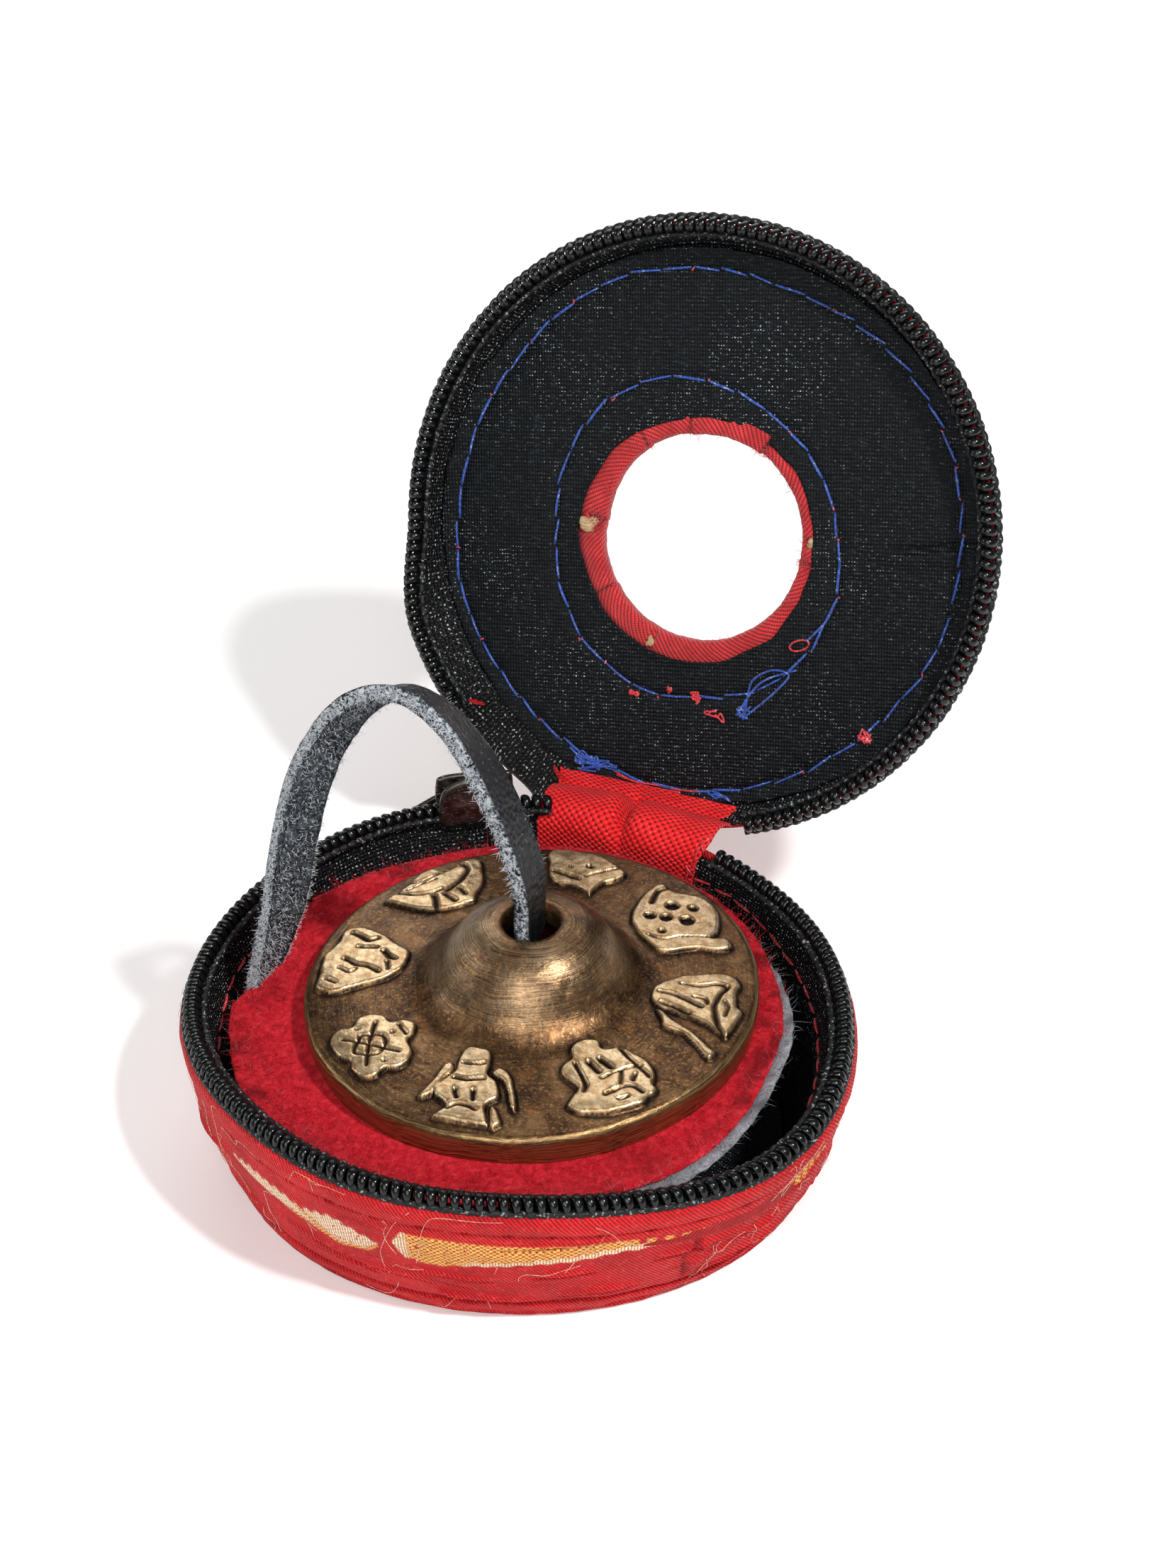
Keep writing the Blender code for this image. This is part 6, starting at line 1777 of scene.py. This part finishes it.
# ---------------------------------------------------------------- slider and pull
def plate(outline, r_in, r_out, mid, bevel, lift, at=SLIDER_AT, rings=5):
    """A plate bent round the case: outline gives places along the rim and up."""
    o = curve(np.array(outline), 6, True)
    c = o.mean(0)
    thick = r_out - r_in
    layers = []
    for r, s in ((r_in, 1 - 1.6 * bevel), (r_in + 0.10 * thick, 1 - 0.7 * bevel), (r_in + 0.3 * thick, 1.0), (r_in + 0.7 * thick, 1.0), (r_out - 0.10 * thick, 1 - 0.7 * bevel), (r_out, 1 - 1.6 * bevel)):
        p = c + (o - c) * s
        layers.append((r, p))
    verts, n = [], len(o)
    for r, p in layers:
        verts.append(polar(r, at + p[:, 0] / mid, p[:, 1] + lift))
    inner_rows = []
    for s in (0.75, 0.45, 0.15):
        p = c + (o - c) * s
        inner_rows.append(p)
    rows = [polar(r_in, at + p[:, 0] / mid, p[:, 1] + lift) for p in inner_rows[::-1]] + verts + [polar(r_out, at + p[:, 0] / mid, p[:, 1] + lift) for p in inner_rows]
    v = np.array(rows)
    m = len(rows)
    flat = np.concatenate([v.reshape(-1, 3), [v[0].mean(0)], [v[-1].mean(0)]])
    k = np.arange(n)
    t1 = np.stack([np.full(n, m * n), (k + 1) % n, k], -1)
    t2 = np.stack([np.full(n, m * n + 1), (m - 1) * n + k, (m - 1) * n + (k + 1) % n], -1)
    return flat, grid(m, n, True), np.concatenate([t1, t2])


def slider():
    out, lift = 0.35, 1.5
    bag = Bag()
    inner = [(-6.0, ZT - 2.6), (-5.2, ZT - 3.6), (-2.0, ZT - 3.5), (1.5, ZT - 3.4), (4.9, ZT - 3.2), (5.9, ZT - 2.0), (6.0, ZT + 0.8), (5.4, ZT + 3.3), (3.4, ZT + 4.7), (0.5, ZT + 5.0), (-2.6, ZT + 4.6), (-5.0, ZT + 3.0), (-6.0, ZT + 0.6)]
    bag.add(*plate(inner, 44.35 + out, 45.35 + out, 45.3, 0.07, lift))
    outer = [(-6.0, ZT - 2.4), (-5.0, ZT - 3.4), (0, ZT - 3.4), (5.0, ZT - 3.3), (6.0, ZT - 2.0), (6.0, ZT + 2.0), (5.0, ZT + 3.3), (0, ZT + 3.4), (-5.0, ZT + 3.4), (-6.0, ZT + 2.4)]
    bag.add(*plate(outer, 48.65 + out, 49.65 + out, 49.1, 0.06, lift))
    web = [(-5.6, ZT + 3.6 - lift), (-2.0, ZT + 3.9 - lift), (1.6, ZT + 3.7 - lift), (2.6, ZT + 2.4 - lift), (0.5, ZT + 1.3 - lift), (-3.0, ZT + 1.5 - lift), (-5.4, ZT + 2.2 - lift)]
    bag.add(*plate(web, 45.2 + out, 48.8 + out, 47.2, 0.05, lift))
    th = SLIDER_AT
    er, et = np.array([math.cos(th), math.sin(th), 0]), np.array([-math.sin(th), math.cos(th), 0])
    crown = [er * 49.8 + et * -3.1 + [0, 0, ZT], er * 51.2 + et * -3.0 + [0, 0, ZT], er * 51.8 + et * -1.8 + [0, 0, ZT], er * 51.9 + [0, 0, ZT], er * 51.8 + et * 1.8 + [0, 0, ZT], er * 51.2 + et * 3.0 + [0, 0, ZT], er * 49.8 + et * 3.1 + [0, 0, ZT]]
    bag.add(*tube(curve(crown, 6), 0.42, 10, (0, 0, 1), 1.0))
    v = np.concatenate(bag.v)
    obj = make("zip_slider_metal", v, np.concatenate(bag.q), np.concatenate(bag.t), (METAL,), attrs={"edge": 0.5 * smooth(noise(v, 1.2, 210, 2), 0.25, 0.6)})
    place(obj, "slider", "gunmetal", "zip_slider")


slider()


def pull():
    """A flat zip pull that hangs beside the rim: a pin under the slider's crown, two arms and a tapered tab that droops."""
    th = SLIDER_AT
    er, et = np.array([math.cos(th), math.sin(th), 0]), np.array([-math.sin(th), math.cos(th), 0])
    rad = 50.55
    bag = Bag()

    def droop(y):
        return -0.55 * np.maximum(np.asarray(y, float) - 2.0, 0)

    o = curve(np.array([(4.4, -1.2), (5.2, -2.5), (9.0, -2.55), (14.0, -2.35), (18.4, -2.1), (19.7, -1.2), (20.0, 0), (19.7, 1.2), (18.4, 2.1), (14.0, 2.35), (9.0, 2.55), (5.2, 2.5), (4.4, 1.2)]), 5, True)
    c, n = o.mean(0), len(o)
    rows = []
    for d, k in ((-0.42, 0.30), (-0.42, 0.86), (-0.36, 0.96), (-0.15, 1.0), (0.15, 1.0), (0.36, 0.96), (0.42, 0.90), (0.30, 0.84), (0.30, 0.30)):
        p = c + (o - c) * k
        rows.append(er * (rad + d) + et * p[:, :1] + np.array([0, 0, 1.0]) * (ZT + p[:, 1:] + droop(p[:, :1])))
    v = np.array(rows)
    m, k = len(rows), np.arange(n)
    flat = np.concatenate([v.reshape(-1, 3), [v[0].mean(0)], [v[-1].mean(0)]])
    ends = np.concatenate([np.stack([np.full(n, m * n), (k + 1) % n, k], -1), np.stack([np.full(n, m * n + 1), (m - 1) * n + k, (m - 1) * n + (k + 1) % n], -1)])
    bag.add(flat, grid(m, n, True), ends)
    for side in (-1, 1):
        arm = [er * rad + et * y + [0, 0, ZT + side * z + float(droop(y))] for y, z in ((-0.2, 1.9), (1.5, 2.0), (3.5, 2.1), (5.8, 2.0))]
        bag.add(*tube(curve(arm, 5), 0.4, 8, er))
    pin = [er * rad + [0, 0, ZT + z] for z in (-2.2, -0.8, 0.8, 2.2)]
    bag.add(*tube(np.array(pin), 0.33, 10, er))
    w = np.concatenate(bag.v)
    obj = make("zip_pull_metal", w, np.concatenate(bag.q), np.concatenate(bag.t), (METAL,), attrs={"edge": 0.5 * smooth(noise(w, 1.5, 211, 2), 0.2, 0.6)})
    place(obj, "pull", "gunmetal", "zip_pull")


pull()


# ---------------------------------------------------------------- floor and light
def floor():
    n = 40
    g = np.linspace(-1, 1, n)
    x, y = np.meshgrid(g * 1500, g * 1500)
    v = np.stack([x.ravel(), y.ravel(), np.full(x.size, 0.0)], -1)
    s = Shade("floor_pale")
    soft = s.noise(s.place(), 3, 2, 0.5)
    mat = s.set(color=s.mix(soft, (0.90, 0.89, 0.885), (0.93, 0.925, 0.92)), rough=s.span(soft, 0, 1, 0.8, 0.9))
    s.b.inputs["Specular IOR Level"].default_value = 0.1
    s.b.inputs["Emission Color"].default_value = (1, 0.99, 0.985, 1)
    s.b.inputs["Emission Strength"].default_value = 0.14
    obj = make("floor", v, grid(n, n), None, (mat,), outward=False)


floor()


def lamp(name, at, to, size, power, color=(1, 1, 1)):
    data = bpy.data.lights.new(name, "AREA")
    data.shape = "DISK"
    data.size = size
    data.energy = power
    data.color = color
    obj = bpy.data.objects.new(name, data)
    a, b = np.array(at, float), np.array(to, float)
    from mathutils import Vector
    obj.location = a
    obj.rotation_euler = Vector(b - a).to_track_quat("-Z", "Y").to_euler()
    bpy.context.scene.collection.objects.link(obj)


lamp("key", (0.65, -0.245, 0.98), (0, 0, 0.03), 0.10, 11.0)
lamp("front", (0.22, -1.0, 0.72), (0, 0, 0.03), 0.9, 9.5)
lamp("back", (-0.33, 0.78, 0.66), (0, 0, 0.03), 1.0, 4.5)
lamp("left", (-0.85, -0.25, 0.45), (0, 0, 0.03), 0.35, 1.4)
world = bpy.data.worlds.new("studio")
world.use_nodes = True
world.node_tree.nodes["Background"].inputs[0].default_value = (1, 1, 1, 1)
world.node_tree.nodes["Background"].inputs[1].default_value = 0.16
bpy.context.scene.world = world
bpy.context.scene.view_settings.view_transform = "Standard"
